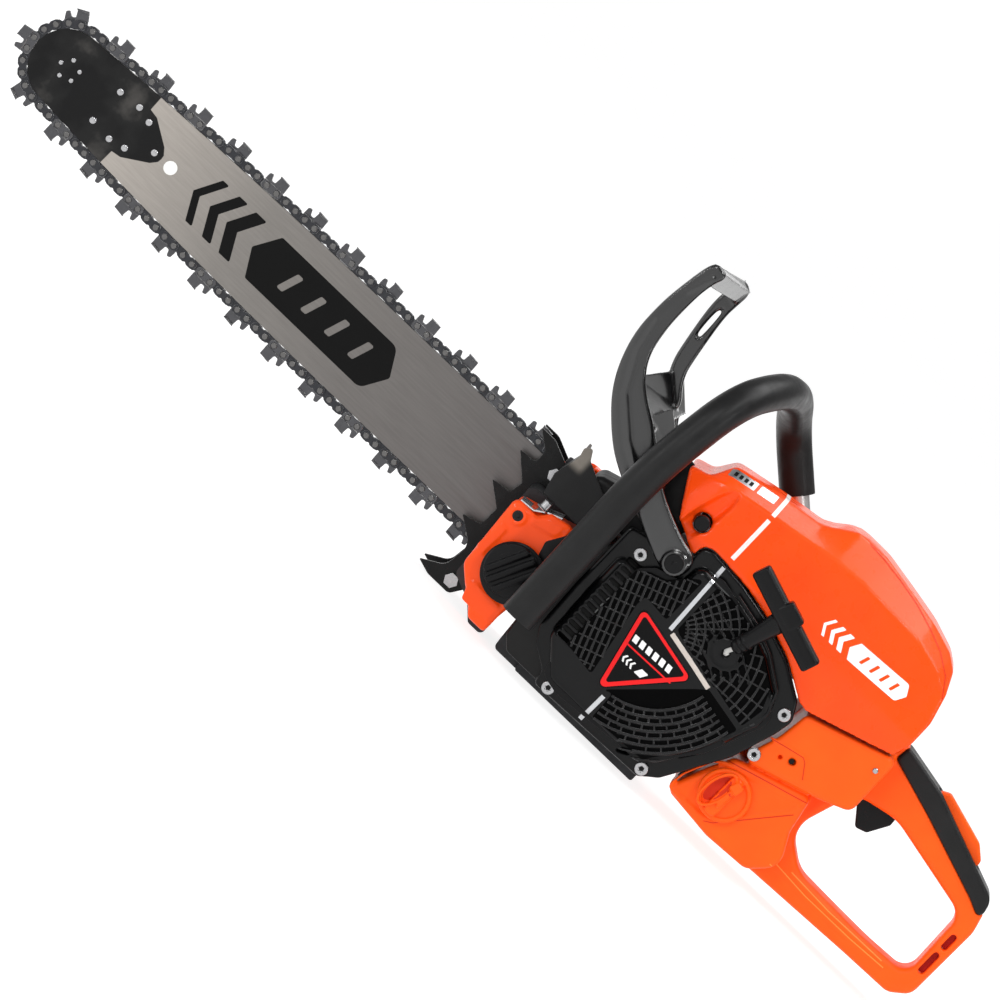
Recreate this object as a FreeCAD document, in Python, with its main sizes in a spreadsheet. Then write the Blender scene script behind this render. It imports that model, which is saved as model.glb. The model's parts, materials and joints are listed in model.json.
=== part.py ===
import FreeCAD, Part
import math
import os

import Sketcher
from FreeCAD import Placement, Rotation, Vector

# Chainsaw with a 20 inch bar. +X points to the rear handle, +Y to the clutch side and +Z up.
# The origin is on the ground, under the crankshaft axis, in the centre plane of the engine.

doc = FreeCAD.newDocument("chainsaw")
sheet = doc.addObject("Spreadsheet::Sheet", "Dims")

DIMENSIONS = {
    "crank_z": 83.4,            # crankshaft and bar centre line above the ground
    "bar_y": 62.0,              # middle plane of the bar and chain
    "stroke": 36.2,
    "bore_size": 50.8,
    "rod_length": 64.0,
    "shaft_radius": 8.5,
    "web_radius": 35.0,
    "web_half_width": 22.0,
    "bearing_radius": 20.0,
    "bearing_width": 12.0,
    "case_left_y": -47.6,       # left face of the crankcase, behind the starter cover
    "tank_left_y": -55.0,       # left face of the oil tank
    "case_right_y": 46.0,
    "pad_right_y": 59.5,        # bar pad
    "cover_flange_y": -48.0,    # rear edge of the starter cover
    "cover_face_y": -62.0,
    "cover_dome_y": -74.0,
    "shell_wall": 3.0,
    "flywheel_radius": 50.0,
    "drum_radius": 38.0,
    "chain_pitch": 9.525,       # distance between neighbouring rivets
    "chain_gauge": 1.5,
    "strap_thickness": 1.5,
    "rivet_radius": 2.3,
    "bar_thickness": 4.8,
    "bar_half_height": 38.5,
    "rail_to_rivet": 4.15,      # from the bar's rail to the line of the rivets
    "sprocket_teeth": 7,
    "nose_teeth": 11,
    "tube_radius": 9.0,         # front handle
    "sleeve_radius": 13.25,
    "grip_half_width": 17.0,    # rear handle
    "tank_low_y": -50.0,
    "tank_high_y": 45.0,
    "stud_radius": 4.0,
    "stud_front_x": -116.0,
    "stud_rear_x": -78.0,
    "screw_head_radius": 5.0,
    "screw_shank_radius": 2.4,
    "spike_thickness": 3.0,
    "fit_gap": 0.05,            # radial running clearance of a shaft
    "part_gap": 0.3,            # space between neighbouring housings
}


def fill_sheet():
    """Write the driving dimensions into the sheet, one aliased cell each."""
    for row, (name, value) in enumerate(DIMENSIONS.items(), start=1):
        sheet.set("A%d" % row, name)
        sheet.set("B%d" % row, str(value))
        sheet.setAlias("B%d" % row, name)
    doc.recompute()


def size(name):
    """Value of a driving dimension, in mm."""
    return float(sheet.get(name))


fill_sheet()

CRANK_Z = size("crank_z")
BAR_Y = size("bar_y")
X_AXIS = Vector(1, 0, 0)
Y_AXIS = Vector(0, 1, 0)
Z_AXIS = Vector(0, 0, 1)
SUB_PARTS = []


# ---------------------------------------------------------------- outlines

def corner_arc(before, corner, after, radius):
    """Tangent points and middle point of the arc that rounds a corner."""
    to_before = (before - corner).normalize()
    to_after = (after - corner).normalize()
    half = math.acos(max(-1.0, min(1.0, to_before.dot(to_after)))) / 2
    reach = radius / math.tan(half)
    bisector = (to_before + to_after).normalize()
    middle = corner + bisector * (radius / math.sin(half) - radius)
    return corner + to_before * reach, middle, corner + to_after * reach


def outline_edges(points):
    """Closed outline of lines, with an arc at each corner (u, v, radius)."""
    corners = [Vector(point[0], point[1], 0) for point in points]
    radii = [point[2] if len(point) > 2 else 0 for point in points]
    starts, ends, edges = [], [], []
    count = len(corners)
    for index in range(count):
        corner, radius = corners[index], radii[index]
        if radius == 0:
            starts.append(corner)
            ends.append(corner)
            continue
        before, after = corners[index - 1], corners[(index + 1) % count]
        first, middle, last = corner_arc(before, corner, after, radius)
        starts.append(first)
        ends.append(last)
        edges.append(Part.Arc(first, middle, last))
    for index in range(count):
        if (starts[(index + 1) % count] - ends[index]).Length > 1e-4:
            edges.append(Part.LineSegment(ends[index], starts[(index + 1) % count]))
    return edges


def outline_wire(points):
    """The outline as a wire in the XY plane."""
    edges = [edge.toShape() for edge in outline_edges(points)]
    return Part.Wire(Part.__sortEdges__(edges))


def to_side_view(shape):
    """Turn an outline in XY into the XZ plane."""
    turned = shape.copy()
    turned.rotate(Vector(0, 0, 0), X_AXIS, 90)
    return turned


def side_prism(points, y_low, y_high):
    """Solid of a side view outline (x, z) between two Y values."""
    face = to_side_view(Part.Face(outline_wire(points)))
    face.translate(Vector(0, y_low, 0))
    return face.extrude(Vector(0, y_high - y_low, 0))


def box(x_low, x_high, y_low, y_high, z_low, z_high):
    corner = Vector(x_low, y_low, z_low)
    return Part.makeBox(x_high - x_low, y_high - y_low, z_high - z_low, corner)


def disc(radius, x, z, y_low, y_high):
    """Cylinder along Y."""
    return Part.makeCylinder(radius, y_high - y_low, Vector(x, y_low, z), Y_AXIS)


def ring(outer, inner, x, z, y_low, y_high):
    """Tube along Y."""
    return disc(outer, x, z, y_low, y_high).cut(disc(inner, x, z, y_low, y_high))


def hexagon(radius, x, z, y_low, y_high):
    """Six-sided prism along Y; radius is to the corners."""
    turns = [math.radians(60 * step) for step in range(6)]
    corners = [(x + radius * math.cos(turn), z + radius * math.sin(turn)) for turn in turns]
    return side_prism(corners, y_low, y_high)


def rounded(shape, radius, keep):
    """Round the edges for which keep(edge) is true."""
    edges = [edge for edge in shape.Edges if keep(edge)]
    return shape.makeFillet(radius, edges)


def flat_in_y(edge, y, tolerance=0.01):
    """True for an edge that lies in the plane at y."""
    bounds = edge.BoundBox
    return abs(bounds.YMin - y) < tolerance and abs(bounds.YMax - y) < tolerance


def round_sides(shape, radius, y_low, y_high):
    """Round the outline edges of a prism on both of its flat sides."""
    return rounded(shape, radius, lambda edge: flat_in_y(edge, y_low) or flat_in_y(edge, y_high))


def rounded_path(points, share=0.45):
    """Straight runs joined by tangent arcs, through 3D points."""
    edges = []
    last = points[0]
    for index in range(1, len(points) - 1):
        before, corner, after = points[index - 1], points[index], points[index + 1]
        shorter = min((corner - before).Length, (after - corner).Length)
        turn = (corner - before).getAngle(after - corner)
        radius = share * shorter / math.tan(turn / 2)
        first, middle, end = corner_arc(before, corner, after, radius)
        edges.append(Part.LineSegment(last, first).toShape())
        edges.append(Part.Arc(first, middle, end).toShape())
        last = end
    edges.append(Part.LineSegment(last, points[-1]).toShape())
    return Part.Wire(edges)


def tube_along(path, radius):
    """Round bar along a path."""
    start = path.Edges[0]
    first = start.FirstParameter
    circle = Part.makeCircle(radius, start.valueAt(first), start.tangentAt(first))
    return path.makePipeShell([Part.Wire([circle])], True, False)


# ---------------------------------------------------------------- document objects

def register(item, label):
    item.Label = label
    SUB_PARTS.append(item)
    return item


def add_shape(label, shape):
    """Sub-part whose shape is made with Part's own functions."""
    item = doc.addObject("Part::Feature", label)
    item.Shape = shape
    item.Placement = shape.Placement
    return register(item, label)


def bound(expression):
    """Spreadsheet expression with each alias written as Dims.alias."""
    words = expression.replace("(", "( ").replace(")", " )").split()
    return " ".join("Dims." + word if word in DIMENSIONS else word for word in words)


def origin_plane(body, role):
    return [plane for plane in body.Origin.OriginFeatures if plane.Role == role][0]


def new_body(label):
    return register(doc.addObject("PartDesign::Body", label), label)


def side_sketch(body, outlines, offset):
    """Sketch in the side view, moved to the Y value -offset."""
    sketch = body.newObject("Sketcher::SketchObject", body.Label + "_sketch")
    sketch.AttachmentSupport = [(origin_plane(body, "XZ_Plane"), "")]
    sketch.MapMode = "FlatFace"
    for outline in outlines:
        sketch.addGeometry(outline_edges(outline), False)
    sketch.setExpression("AttachmentOffset.Base.z", bound("-1 * ( %s )" % offset))
    return sketch


def circle_sketch(body, radius, x, z, offset):
    """Sketch of one circle in the side view, its radius bound to the sheet."""
    sketch = side_sketch(body, [], offset)
    sketch.addGeometry(Part.Circle(Vector(x, z, 0), Z_AXIS, size_of(radius)), False)
    row = sketch.addConstraint(Sketcher.Constraint("Radius", 0, size_of(radius)))
    sketch.setExpression("Constraints[%d]" % row, bound(radius))
    return sketch


def size_of(expression):
    """Number of a sum or difference of aliases and plain numbers."""
    total, sign = 0.0, 1.0
    for word in expression.split():
        if word in "+-":
            sign = 1.0 if word == "+" else -1.0
            continue
        total += sign * (size(word) if word in DIMENSIONS else float(word))
    return total


def pad(body, sketch, y_low, y_high):
    """Add the sketch's outline from y_high down to y_low."""
    feature = body.newObject("PartDesign::Pad", body.Label + "_pad")
    feature.Profile = sketch
    feature.setExpression("Length", bound("( %s ) - ( %s )" % (y_high, y_low)))
    return feature


def pad_outline(body, outlines, y_low, y_high):
    return pad(body, side_sketch(body, outlines, y_high), y_low, y_high)


def pad_circle(body, radius, x, z, y_low, y_high):
    return pad(body, circle_sketch(body, radius, x, z, y_high), y_low, y_high)


def pocket(body, sketch, y_low, y_high):
    """Cut the sketch's outline from y_low up to y_high, and make sure that it cuts."""
    doc.recompute()
    before = body.Shape.Volume
    feature = body.newObject("PartDesign::Pocket", body.Label + "_pocket")
    feature.Profile = sketch
    feature.setExpression("Length", bound("( %s ) - ( %s )" % (y_high, y_low)))
    doc.recompute()
    if body.Shape.Volume >= before - 1e-3:
        raise RuntimeError("%s: a pocket cuts nothing" % body.Label)
    return feature


def pocket_outline(body, outlines, y_low, y_high):
    return pocket(body, side_sketch(body, outlines, y_low), y_low, y_high)


def pocket_circle(body, radius, x, z, y_low, y_high):
    return pocket(body, circle_sketch(body, radius, x, z, y_low), y_low, y_high)


def plate(label, outlines, y_low, y_high):
    """Sub-part of one flat plate in the side view."""
    body = new_body(label)
    pad_outline(body, outlines, y_low, y_high)
    return body


def soften_face(body, direction, radius):
    """Round the edges of the flat face that lies furthest along direction."""
    doc.recompute()
    tip = body.Tip
    best, reach = None, None
    for index, face in enumerate(tip.Shape.Faces, start=1):
        if face.Surface.TypeId != "Part::GeomPlane":
            continue
        if face.normalAt(0, 0).dot(direction) < 0.999:
            continue
        distance = face.CenterOfMass.dot(direction)
        if reach is None or distance > reach:
            best, reach = index, distance
    feature = body.newObject("PartDesign::Fillet", body.Label + "_fillet")
    feature.Base = (tip, ["Face%d" % best])
    feature.Radius = radius
    doc.recompute()
    return feature


def turned(label, half_profile, x, z, axis_role="Y"):
    """Body of revolution about Y (or Z) through (x, z); half_profile holds (radius, height)."""
    body = new_body(label)
    plane = "XY_Plane" if axis_role == "Y" else "XZ_Plane"
    sketch = body.newObject("Sketcher::SketchObject", label + "_profile")
    sketch.AttachmentSupport = [(origin_plane(body, plane), "")]
    sketch.MapMode = "FlatFace"
    sketch.addGeometry(outline_edges(half_profile), False)
    feature = body.newObject("PartDesign::Revolution", label + "_turn")
    feature.Profile = sketch
    feature.ReferenceAxis = (sketch, ["V_Axis"])
    feature.Angle = 360
    body.Placement = Placement(Vector(x, 0, z), Rotation())
    if z == CRANK_Z:
        body.setExpression("Placement.Base.z", bound("crank_z"))
    return body


def group(label, solids):
    """Identical pieces that share one node, each a separate solid."""
    return add_shape(label, Part.makeCompound(solids))


def rectangle(x_low, x_high, z_low, z_high, radius=0):
    corners = ((x_low, z_low), (x_high, z_low), (x_high, z_high), (x_low, z_high))
    return [(x, z, radius) for x, z in corners]


def pocket_down(body, radius, x, y, z_low, z_high):
    """Cut a vertical hole from z_high down to z_low, and make sure that it cuts."""
    doc.recompute()
    before = body.Shape.Volume
    sketch = body.newObject("Sketcher::SketchObject", body.Label + "_bore")
    sketch.AttachmentSupport = [(origin_plane(body, "XY_Plane"), "")]
    sketch.MapMode = "FlatFace"
    sketch.addGeometry(Part.Circle(Vector(x, y, 0), Z_AXIS, radius), False)
    sketch.AttachmentOffset = Placement(Vector(0, 0, z_high), Rotation())
    feature = body.newObject("PartDesign::Pocket", body.Label + "_bore_cut")
    feature.Profile = sketch
    feature.Length = z_high - z_low
    doc.recompute()
    if body.Shape.Volume >= before - 1e-3:
        raise RuntimeError("%s: a vertical hole cuts nothing" % body.Label)
    return feature


# ---------------------------------------------------------------- crankcase and engine

DECK_Z = 125.0                  # joint between the crankcase and the cylinder
FILLER_X, FILLER_Z = -116.0, 56.5
FUEL_X, FUEL_Z = 110.0, 45.0

CASE_OUTLINE = [
    (-146, 96, 5), (-103, 107, 5), (-62, DECK_Z, 6), (56, DECK_Z, 8), (64, 60, 20), (58, 10, 6),
    (-76, 10, 5), (-85, 20, 4), (-87, 36, 3), (-96, 36, 3), (-99, 11, 3), (-112, 11, 4),
    (-122, 22, 3), (-129, 27, 4), (-140, 38, 6),
]
RIGHT_CASE_OUTLINE = [
    (-146, 106, 6), (-103, 108, 5), (-62, DECK_Z, 6), (56, DECK_Z, 8), (64, 60, 20), (58, 8, 6),
    (-62, 0, 3), (-84, 0, 4), (-87, 36, 3), (-97, 36, 3), (-97, 0, 4), (-110, 0, 4),
    (-122, 12, 3), (-142, 20, 6),
]
HORN_OUTLINE = [
    (-148, 98, 6), (-128, 97, 3), (-121, 106, 3), (-104, 109, 3), (-97.5, 90, 3), (-97.5, 14, 4),
    (-98, 9, 2), (-113, 9, 4), (-124, 21, 3), (-131, 25, 4), (-143, 36, 8),
]


# Hollows that both halves share: the oil tank, the space in front of the crank and the sump.
TANK_HOLLOW = rectangle(-134, -103, 42, 88, 4)
FRONT_HOLLOW = [(-98, 42, 3), (-52, 42, 3), (-46, 60, 3), (-46, 117, 3), (-64, 117, 3), (-98, 102, 3)]
LEFT_SUMP = [(-70, 15, 3), (52, 15, 3), (55, 38, 3), (-80, 38, 3)]
RIGHT_SUMP = [(-78, 6, 3), (52, 14, 3), (56, 38, 3), (-82, 38, 3)]


def crankcase_left():
    body = new_body("crankcase_left")
    pad_outline(body, [CASE_OUTLINE], "case_left_y", "0")
    pad_outline(body, [HORN_OUTLINE], "tank_left_y", "case_left_y + 4")
    soften_face(body, -Y_AXIS, 3.0)
    pocket_circle(body, "web_radius + 3", 0, CRANK_Z, "-24", "0")
    pocket_circle(body, "bearing_radius + fit_gap", 0, CRANK_Z, "-36", "-24")
    pocket_circle(body, "shaft_radius + 1", 0, CRANK_Z, "case_left_y", "-36")
    pocket_outline(body, [TANK_HOLLOW], "case_left_y", "0")
    pocket_outline(body, [FRONT_HOLLOW, LEFT_SUMP], "case_left_y + shell_wall", "0")
    pocket_circle(body, "12.3", FILLER_X, FILLER_Z, "tank_left_y", "case_left_y")
    pocket_down(body, 29.0, 0, 0, CRANK_Z, DECK_Z)


def crankcase_right():
    body = new_body("crankcase_right")
    pad_outline(body, [RIGHT_CASE_OUTLINE], "0", "case_right_y")
    pad_outline(body, [rectangle(-62, 56, 0, 9.7, 2)], "-10", "case_right_y")
    pad_outline(body, [rectangle(-128, -64, 62, 108, 6)], "case_right_y - 4", "pad_right_y")
    pocket_circle(body, "web_radius + 3", 0, CRANK_Z, "0", "24")
    pocket_circle(body, "bearing_radius + fit_gap", 0, CRANK_Z, "24", "36")
    pocket_circle(body, "shaft_radius + 1", 0, CRANK_Z, "36", "38")
    pocket_circle(body, "drum_radius + 4", 0, CRANK_Z, "38", "case_right_y")
    pocket_outline(body, [rectangle(-62, -43, 34, 52, 2)], "38", "case_right_y")
    pocket_outline(body, [TANK_HOLLOW, RIGHT_SUMP], "0", "34")
    pocket_outline(body, [FRONT_HOLLOW], "0", "32")
    for x in ("stud_front_x", "stud_rear_x"):
        pocket_circle(body, "stud_radius + fit_gap", size(x), CRANK_Z, "36", "pad_right_y")
    pocket_down(body, 29.0, 0, 0, CRANK_Z, DECK_Z)


def main_bearings():
    rings = []
    for y_low in (-36.0, 24.0):
        outer, inner = size("bearing_radius"), size("shaft_radius") + size("fit_gap")
        rings.append(ring(outer, inner, 0, CRANK_Z, y_low, y_low + size("bearing_width")))
    group("main_bearings", rings)


def web_outline():
    """Crank web: a disc whose sides beside the pin are cut away."""
    radius = size("web_radius")
    waist = 20.0
    shape = disc(radius, 0, CRANK_Z, 0, 1)
    for side in (-1, 1):
        x_near, x_far = sorted((side * waist, side * 2 * radius))
        shape = shape.cut(box(x_near, x_far, -1, 2, CRANK_Z, CRANK_Z + 2 * radius))
    return shape


def crankshaft():
    radius = size("shaft_radius")
    half = size("web_half_width")
    web = web_outline()
    shape = disc(radius, 0, CRANK_Z, -57.5, -half).fuse(disc(radius, 0, CRANK_Z, half, 72))
    for y_low in (-half, 7.0):
        stretch = FreeCAD.Matrix()
        stretch.scale(1, half - 7.0, 1)
        thick = web.transformGeometry(stretch)
        thick.translate(Vector(0, y_low, 0))
        shape = shape.fuse(thick)
    shape = shape.fuse(disc(13.5, 0, CRANK_Z, -23.7, -half)).fuse(disc(13.5, 0, CRANK_Z, half, 23.7))
    add_shape("crankshaft", Part.makeCompound(shape.removeSplitter().Solids))


PIN_Z = CRANK_Z + size("stroke") / 2
WRIST_Z = PIN_Z + size("rod_length")


def crank_pin():
    body = new_body("crank_pin")
    pad_circle(body, "9", 0, PIN_Z, "-6.7", "6.7")


def connecting_rod():
    shape = disc(14.0, 0, PIN_Z, -5.5, 5.5).fuse(disc(10.0, 0, WRIST_Z, -7, 7))
    shape = shape.fuse(box(-6, 6, -4, 4, PIN_Z, WRIST_Z))
    shape = shape.cut(disc(9.0 + size("fit_gap"), 0, PIN_Z, -9, 9))
    shape = shape.cut(disc(6.0 + size("fit_gap"), 0, WRIST_Z, -9, 9))
    add_shape("connecting_rod", shape.removeSplitter())


PISTON_TOP = WRIST_Z + 20.0
PISTON_LOW = WRIST_Z - 20.0


def piston():
    radius = size("bore_size") / 2 - 0.1
    shape = Part.makeCylinder(radius, PISTON_TOP - PISTON_LOW, Vector(0, 0, PISTON_LOW))
    shape = shape.cut(Part.makeCylinder(radius - 4, PISTON_TOP - PISTON_LOW - 6, Vector(0, 0, PISTON_LOW)))
    for y_low in (-radius, 10.0):
        boss = disc(10.0, 0, WRIST_Z, y_low, y_low + radius - 10.0)
        shape = shape.fuse(boss.common(Part.makeCylinder(radius, 60, Vector(0, 0, PISTON_LOW))))
    shape = shape.cut(disc(6.0 + size("fit_gap"), 0, WRIST_Z, -30, 30))
    for z in (PISTON_TOP - 5, PISTON_TOP - 9):
        groove = Part.makeCylinder(radius + 1, 1.5, Vector(0, 0, z))
        shape = shape.cut(groove.cut(Part.makeCylinder(radius - 2, 1.5, Vector(0, 0, z))))
    add_shape("piston", shape)


def piston_rings():
    radius = size("bore_size") / 2 - 0.05
    rings = []
    for z in (PISTON_TOP - 5, PISTON_TOP - 9):
        outer = Part.makeCylinder(radius, 1.2, Vector(0, 0, z + 0.15))
        hoop = outer.cut(Part.makeCylinder(radius - 1.9, 1.2, Vector(0, 0, z + 0.15)))
        rings.append(hoop.cut(box(0, 40, -0.4, 0.4, z, z + 3)))
    group("piston_rings", rings)


def wrist_pin():
    body = new_body("wrist_pin")
    pad_circle(body, "6", 0, WRIST_Z, "-21", "21")
    pocket_circle(body, "3.5", 0, WRIST_Z, "-21", "21")


FIN_COUNT = 9
FIN_FIRST_Z = 138.0
FIN_STEP = 7.4
HEAD_TOP_Z = 203.0
PLUG_X = 6.0


def cylinder():
    shape = Part.makeCylinder(31.0, HEAD_TOP_Z - DECK_Z - 0.3, Vector(0, 0, DECK_Z + 0.3))
    shape = shape.fuse(box(-36, 36, -38, 38, DECK_Z + 0.3, DECK_Z + 6))
    for index in range(FIN_COUNT):
        z = FIN_FIRST_Z + index * FIN_STEP
        shape = shape.fuse(box(-42, 42, -38, 38, z, z + 2.2))
    shape = shape.fuse(box(-47, -20, -18, 18, 142, 166)).fuse(box(20, 46, -16, 16, 142, 164))
    shape = shape.cut(Part.makeCylinder(size("bore_size") / 2, 63, Vector(0, 0, DECK_Z)))
    shape = shape.cut(box(-48, -20, -13, 13, 147, 161)).cut(box(20, 47, -10, 10, 147, 159))
    shape = shape.cut(Part.makeCylinder(5.05, 30, Vector(PLUG_X, 0, 180)))
    shape = shape.cut(disc(4.05, VALVE_X, VALVE_Z, -50, -20))
    add_shape("cylinder", shape.removeSplitter())


VALVE_X, VALVE_Z = -38.5, 177.0


def decompression_valve():
    shape = disc(4.0, VALVE_X, VALVE_Z, -59, -33).fuse(disc(6.0, VALVE_X, VALVE_Z, -65, -58))
    add_shape("decompression_valve", rounded(shape, 1.5, lambda edge: flat_in_y(edge, -65)))


def spark_plug():
    profile = [
        (0, 189.2), (4.9, 189.2), (4.9, 203.4), (8.5, 203.4), (8.5, 207), (4.4, 209), (3.2, 222),
        (0, 222),
    ]
    turned("spark_plug", profile, PLUG_X, 0, "Z")


def spark_plug_boot():
    shape = Part.makeCylinder(7.5, 13, Vector(PLUG_X, 0, 213.5))
    shape = shape.fuse(Part.makeCylinder(4.0, 26, Vector(PLUG_X, 0, 221), X_AXIS))
    shape = shape.cut(Part.makeCylinder(4.6, 9.5, Vector(PLUG_X, 0, 213)))
    add_shape("spark_plug_boot", shape)


def ignition_coil():
    plate("ignition_coil", [rectangle(-20, 20, 137, 150, 2)], "-57", "case_left_y - 1")


def flywheel():
    outer = size("flywheel_radius")
    hub = size("shaft_radius") + size("fit_gap")
    shape = ring(outer, hub, 0, CRANK_Z, -52, -49)
    shape = shape.fuse(ring(20, hub, 0, CRANK_Z, -57.5, -52))
    vane = box(22, outer - 1, -57.5, -52, CRANK_Z - 1, CRANK_Z + 1)
    for index in range(16):
        turn = vane.copy()
        turn.rotate(Vector(0, 0, CRANK_Z), Y_AXIS, index * 360 / 16)
        shape = shape.fuse(turn)
    add_shape("flywheel", shape.removeSplitter())


def starter_pawls():
    outline = [(27, -4), (37, -4), (34, 8), (27, 6)]
    corners = [(x, CRANK_Z + lift, 1) for x, lift in outline]
    pawls = []
    for angle in (0, 180):
        pawl = side_prism(corners, -59.5, -57.6)
        pawl.rotate(Vector(0, 0, CRANK_Z), Y_AXIS, angle)
        pawls.append(pawl)
    group("starter_pawls", pawls)


def starter_reel():
    profile = [
        (6.1, -67), (25, -67), (25, -66.1), (16, -66.1), (16, -61.7), (25, -61.7), (25, -60.8),
        (6.1, -60.8),
    ]
    turned("starter_reel", profile, 0, CRANK_Z)


def recoil_spring():
    turned("recoil_spring", [(8, -70.6), (22, -70.6), (22, -67.2), (8, -67.2)], 0, CRANK_Z)


MUFFLER_OUTLINE = [
    (-116, 128, 8), (-118, 148, 8), (-100, 153, 8), (-78, 160, 8), (-51, 167, 5), (-51, 128, 5),
]
MUFFLER_HOLLOW = [
    (-112.5, 131.5, 5), (-114.5, 145, 5), (-98, 149.5, 5), (-77, 156.5, 5), (-54.5, 162, 3),
    (-54.5, 131.5, 3),
]


def muffler():
    body = plate("muffler", [MUFFLER_OUTLINE], "-38", "36")
    soften_face(body, -Y_AXIS, 5.0)
    soften_face(body, Y_AXIS, 5.0)
    pad_outline(body, [rectangle(-53, -47.3, 142, 166)], "-16", "16")
    pocket_outline(body, [MUFFLER_HOLLOW], "-35", "33")
    pocket_circle(body, "6", -98, 140, "33", "36")


def muffler_shield():
    side = [(-136, 112, 2), (-140, 128, 2), (-135, 148, 3), (-137, 156, 2), (-132, 160, 2), (-127, 152, 3),
            (-104, 141, 4), (-80, 148, 3), (-80, 128, 3), (-103, 112, 3)]
    shape = side_prism(side, -46.5, -44)
    front = [
        (-136, 114), (-139, 128), (-134, 148), (-136, 154), (-134, 154), (-131.6, 148),
        (-136.6, 128), (-133.6, 114),
    ]
    shape = shape.fuse(side_prism(front, -45, 36))
    add_shape("muffler_shield", shape.removeSplitter())


def intake_boot():
    profile_box = box(46.2, 62, -18, 18, 140, 166)
    shape = rounded(profile_box, 4, lambda edge: edge.BoundBox.XLength > 10)
    add_shape("intake_boot", shape.cut(box(46, 63, -9, 9, 146, 160)))


THROTTLE_X, THROTTLE_Z = 82.0, 153.0


def carburettor():
    shape = rounded(box(62.2, 98, -20, 20, 137, 169), 3, lambda edge: edge.BoundBox.XLength > 30)
    shape = shape.cut(Part.makeCylinder(9, 40, Vector(62, 0, THROTTLE_Z), X_AXIS))
    shape = shape.cut(disc(3.05, THROTTLE_X, THROTTLE_Z, -30, 30))
    add_shape("carburettor", shape)


def throttle_valve():
    shape = disc(3.0, THROTTLE_X, THROTTLE_Z, -24, 24)
    leaf = Part.makeCylinder(8.6, 1.6, Vector(THROTTLE_X - 0.8, 0, THROTTLE_Z), X_AXIS)
    shape = shape.fuse(leaf)
    outline = [(-4, -3, 1), (4, -3, 1), (3, 14, 2), (-3, 14, 2)]
    corners = [(THROTTLE_X + x, THROTTLE_Z + z, radius) for x, z, radius in outline]
    lever = side_prism(corners, -24, -21.5)
    add_shape("throttle_valve", shape.fuse(lever).removeSplitter())


def air_filter():
    shape = rounded(box(102, 166, -46, 36, 158, 216), 8, lambda edge: edge.Length > 30)
    for index in range(7):
        x = 110 + index * 7.5
        shape = shape.cut(box(x, x + 2.5, -40, 30, 212, 220))
    add_shape("air_filter", shape)


# ---------------------------------------------------------------- starter cover

COVER_OUTLINE = [
    (-46, 9, 4), (54, 12, 8), (67, 22, 8), (94, 69, 14), (105, 103, 10), (108, 118, 9), (101, 131, 10),
    (74, 148, 30), (42, 159.5, 30), (16, 165, 20), (-18, 168, 8), (-25, 165, 4), (-27, 152, 4),
    (-74, 140, 4), (-74, 81, 2), (-72, 42, 10), (-64, 30, 8), (-48, 20, 6),
]
DOME_OUTLINE = [
    (-40, 20, 8), (46, 20, 8), (58, 30, 10), (84, 74, 14), (93, 104, 10), (88, 122, 12),
    (62, 140, 24), (36, 150, 24), (12, 155, 16), (-18, 156, 8), (-20, 127, 8), (-64, 120, 6),
    (-64, 84, 4), (-62, 44, 10),
]
BADGE_CORNERS = [(-27.6, 106.2, 4), (35.6, 91.5, 4), (-12.0, 38.5, 4)]
COVER_SCREWS = [(-54.6, 130.0), (100.0, 118.4), (53.0, 18.6), (-36.0, 14.2)]
RIGHT_SLOT_CENTRE = (-9.0, 101.0)
UPPER_SLOT_CENTRE = (-14.0, 4.0)
OUTLET = Vector(38.0, -74.0, 122.0)


def inset_prism(points, inset, y_low, y_high):
    """Side view prism whose outline is moved inwards."""
    wire = outline_wire(points).makeOffset2D(-inset)
    face = to_side_view(Part.Face(wire))
    face.translate(Vector(0, y_low, 0))
    return face.extrude(Vector(0, y_high - y_low, 0))


def arc_slot(centre, radius, width, first, last, y_low, y_high):
    """Slot that follows a circle in the side view, between two angles in degrees."""
    hoop = ring(radius + width / 2, radius - width / 2, centre[0], centre[1], y_low, y_high)
    reach = radius * 3
    corners = [centre]
    for step in range(3):
        angle = math.radians(first + (last - first) * step / 2)
        corners.append((centre[0] + reach * math.cos(angle), centre[1] + reach * math.sin(angle)))
    return hoop.common(side_prism(corners, y_low, y_high))


def cover_slots():
    """Cooling slots: arcs at the lower right, long bows at the top and short bars at the front."""
    y_low, y_high = -80.0, -57.5
    slots = []
    for index in range(8):
        radius = 57.0 + 5.2 * index
        slots.append(arc_slot(RIGHT_SLOT_CENTRE, radius, 2.4, -72 + index, -16, y_low, y_high))
    for index in range(6):
        radius = 112.0 + 6.2 * index
        slots.append(arc_slot(UPPER_SLOT_CENTRE, radius, 2.6, 60 - index, 79, y_low, y_high))
    for index in range(13):
        z = 48.0 + 6.0 * index
        slots.append(box(-59, -38 - 1.2 * index * 0.5, y_low, y_high, z, z + 3.0))
    return slots


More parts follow.
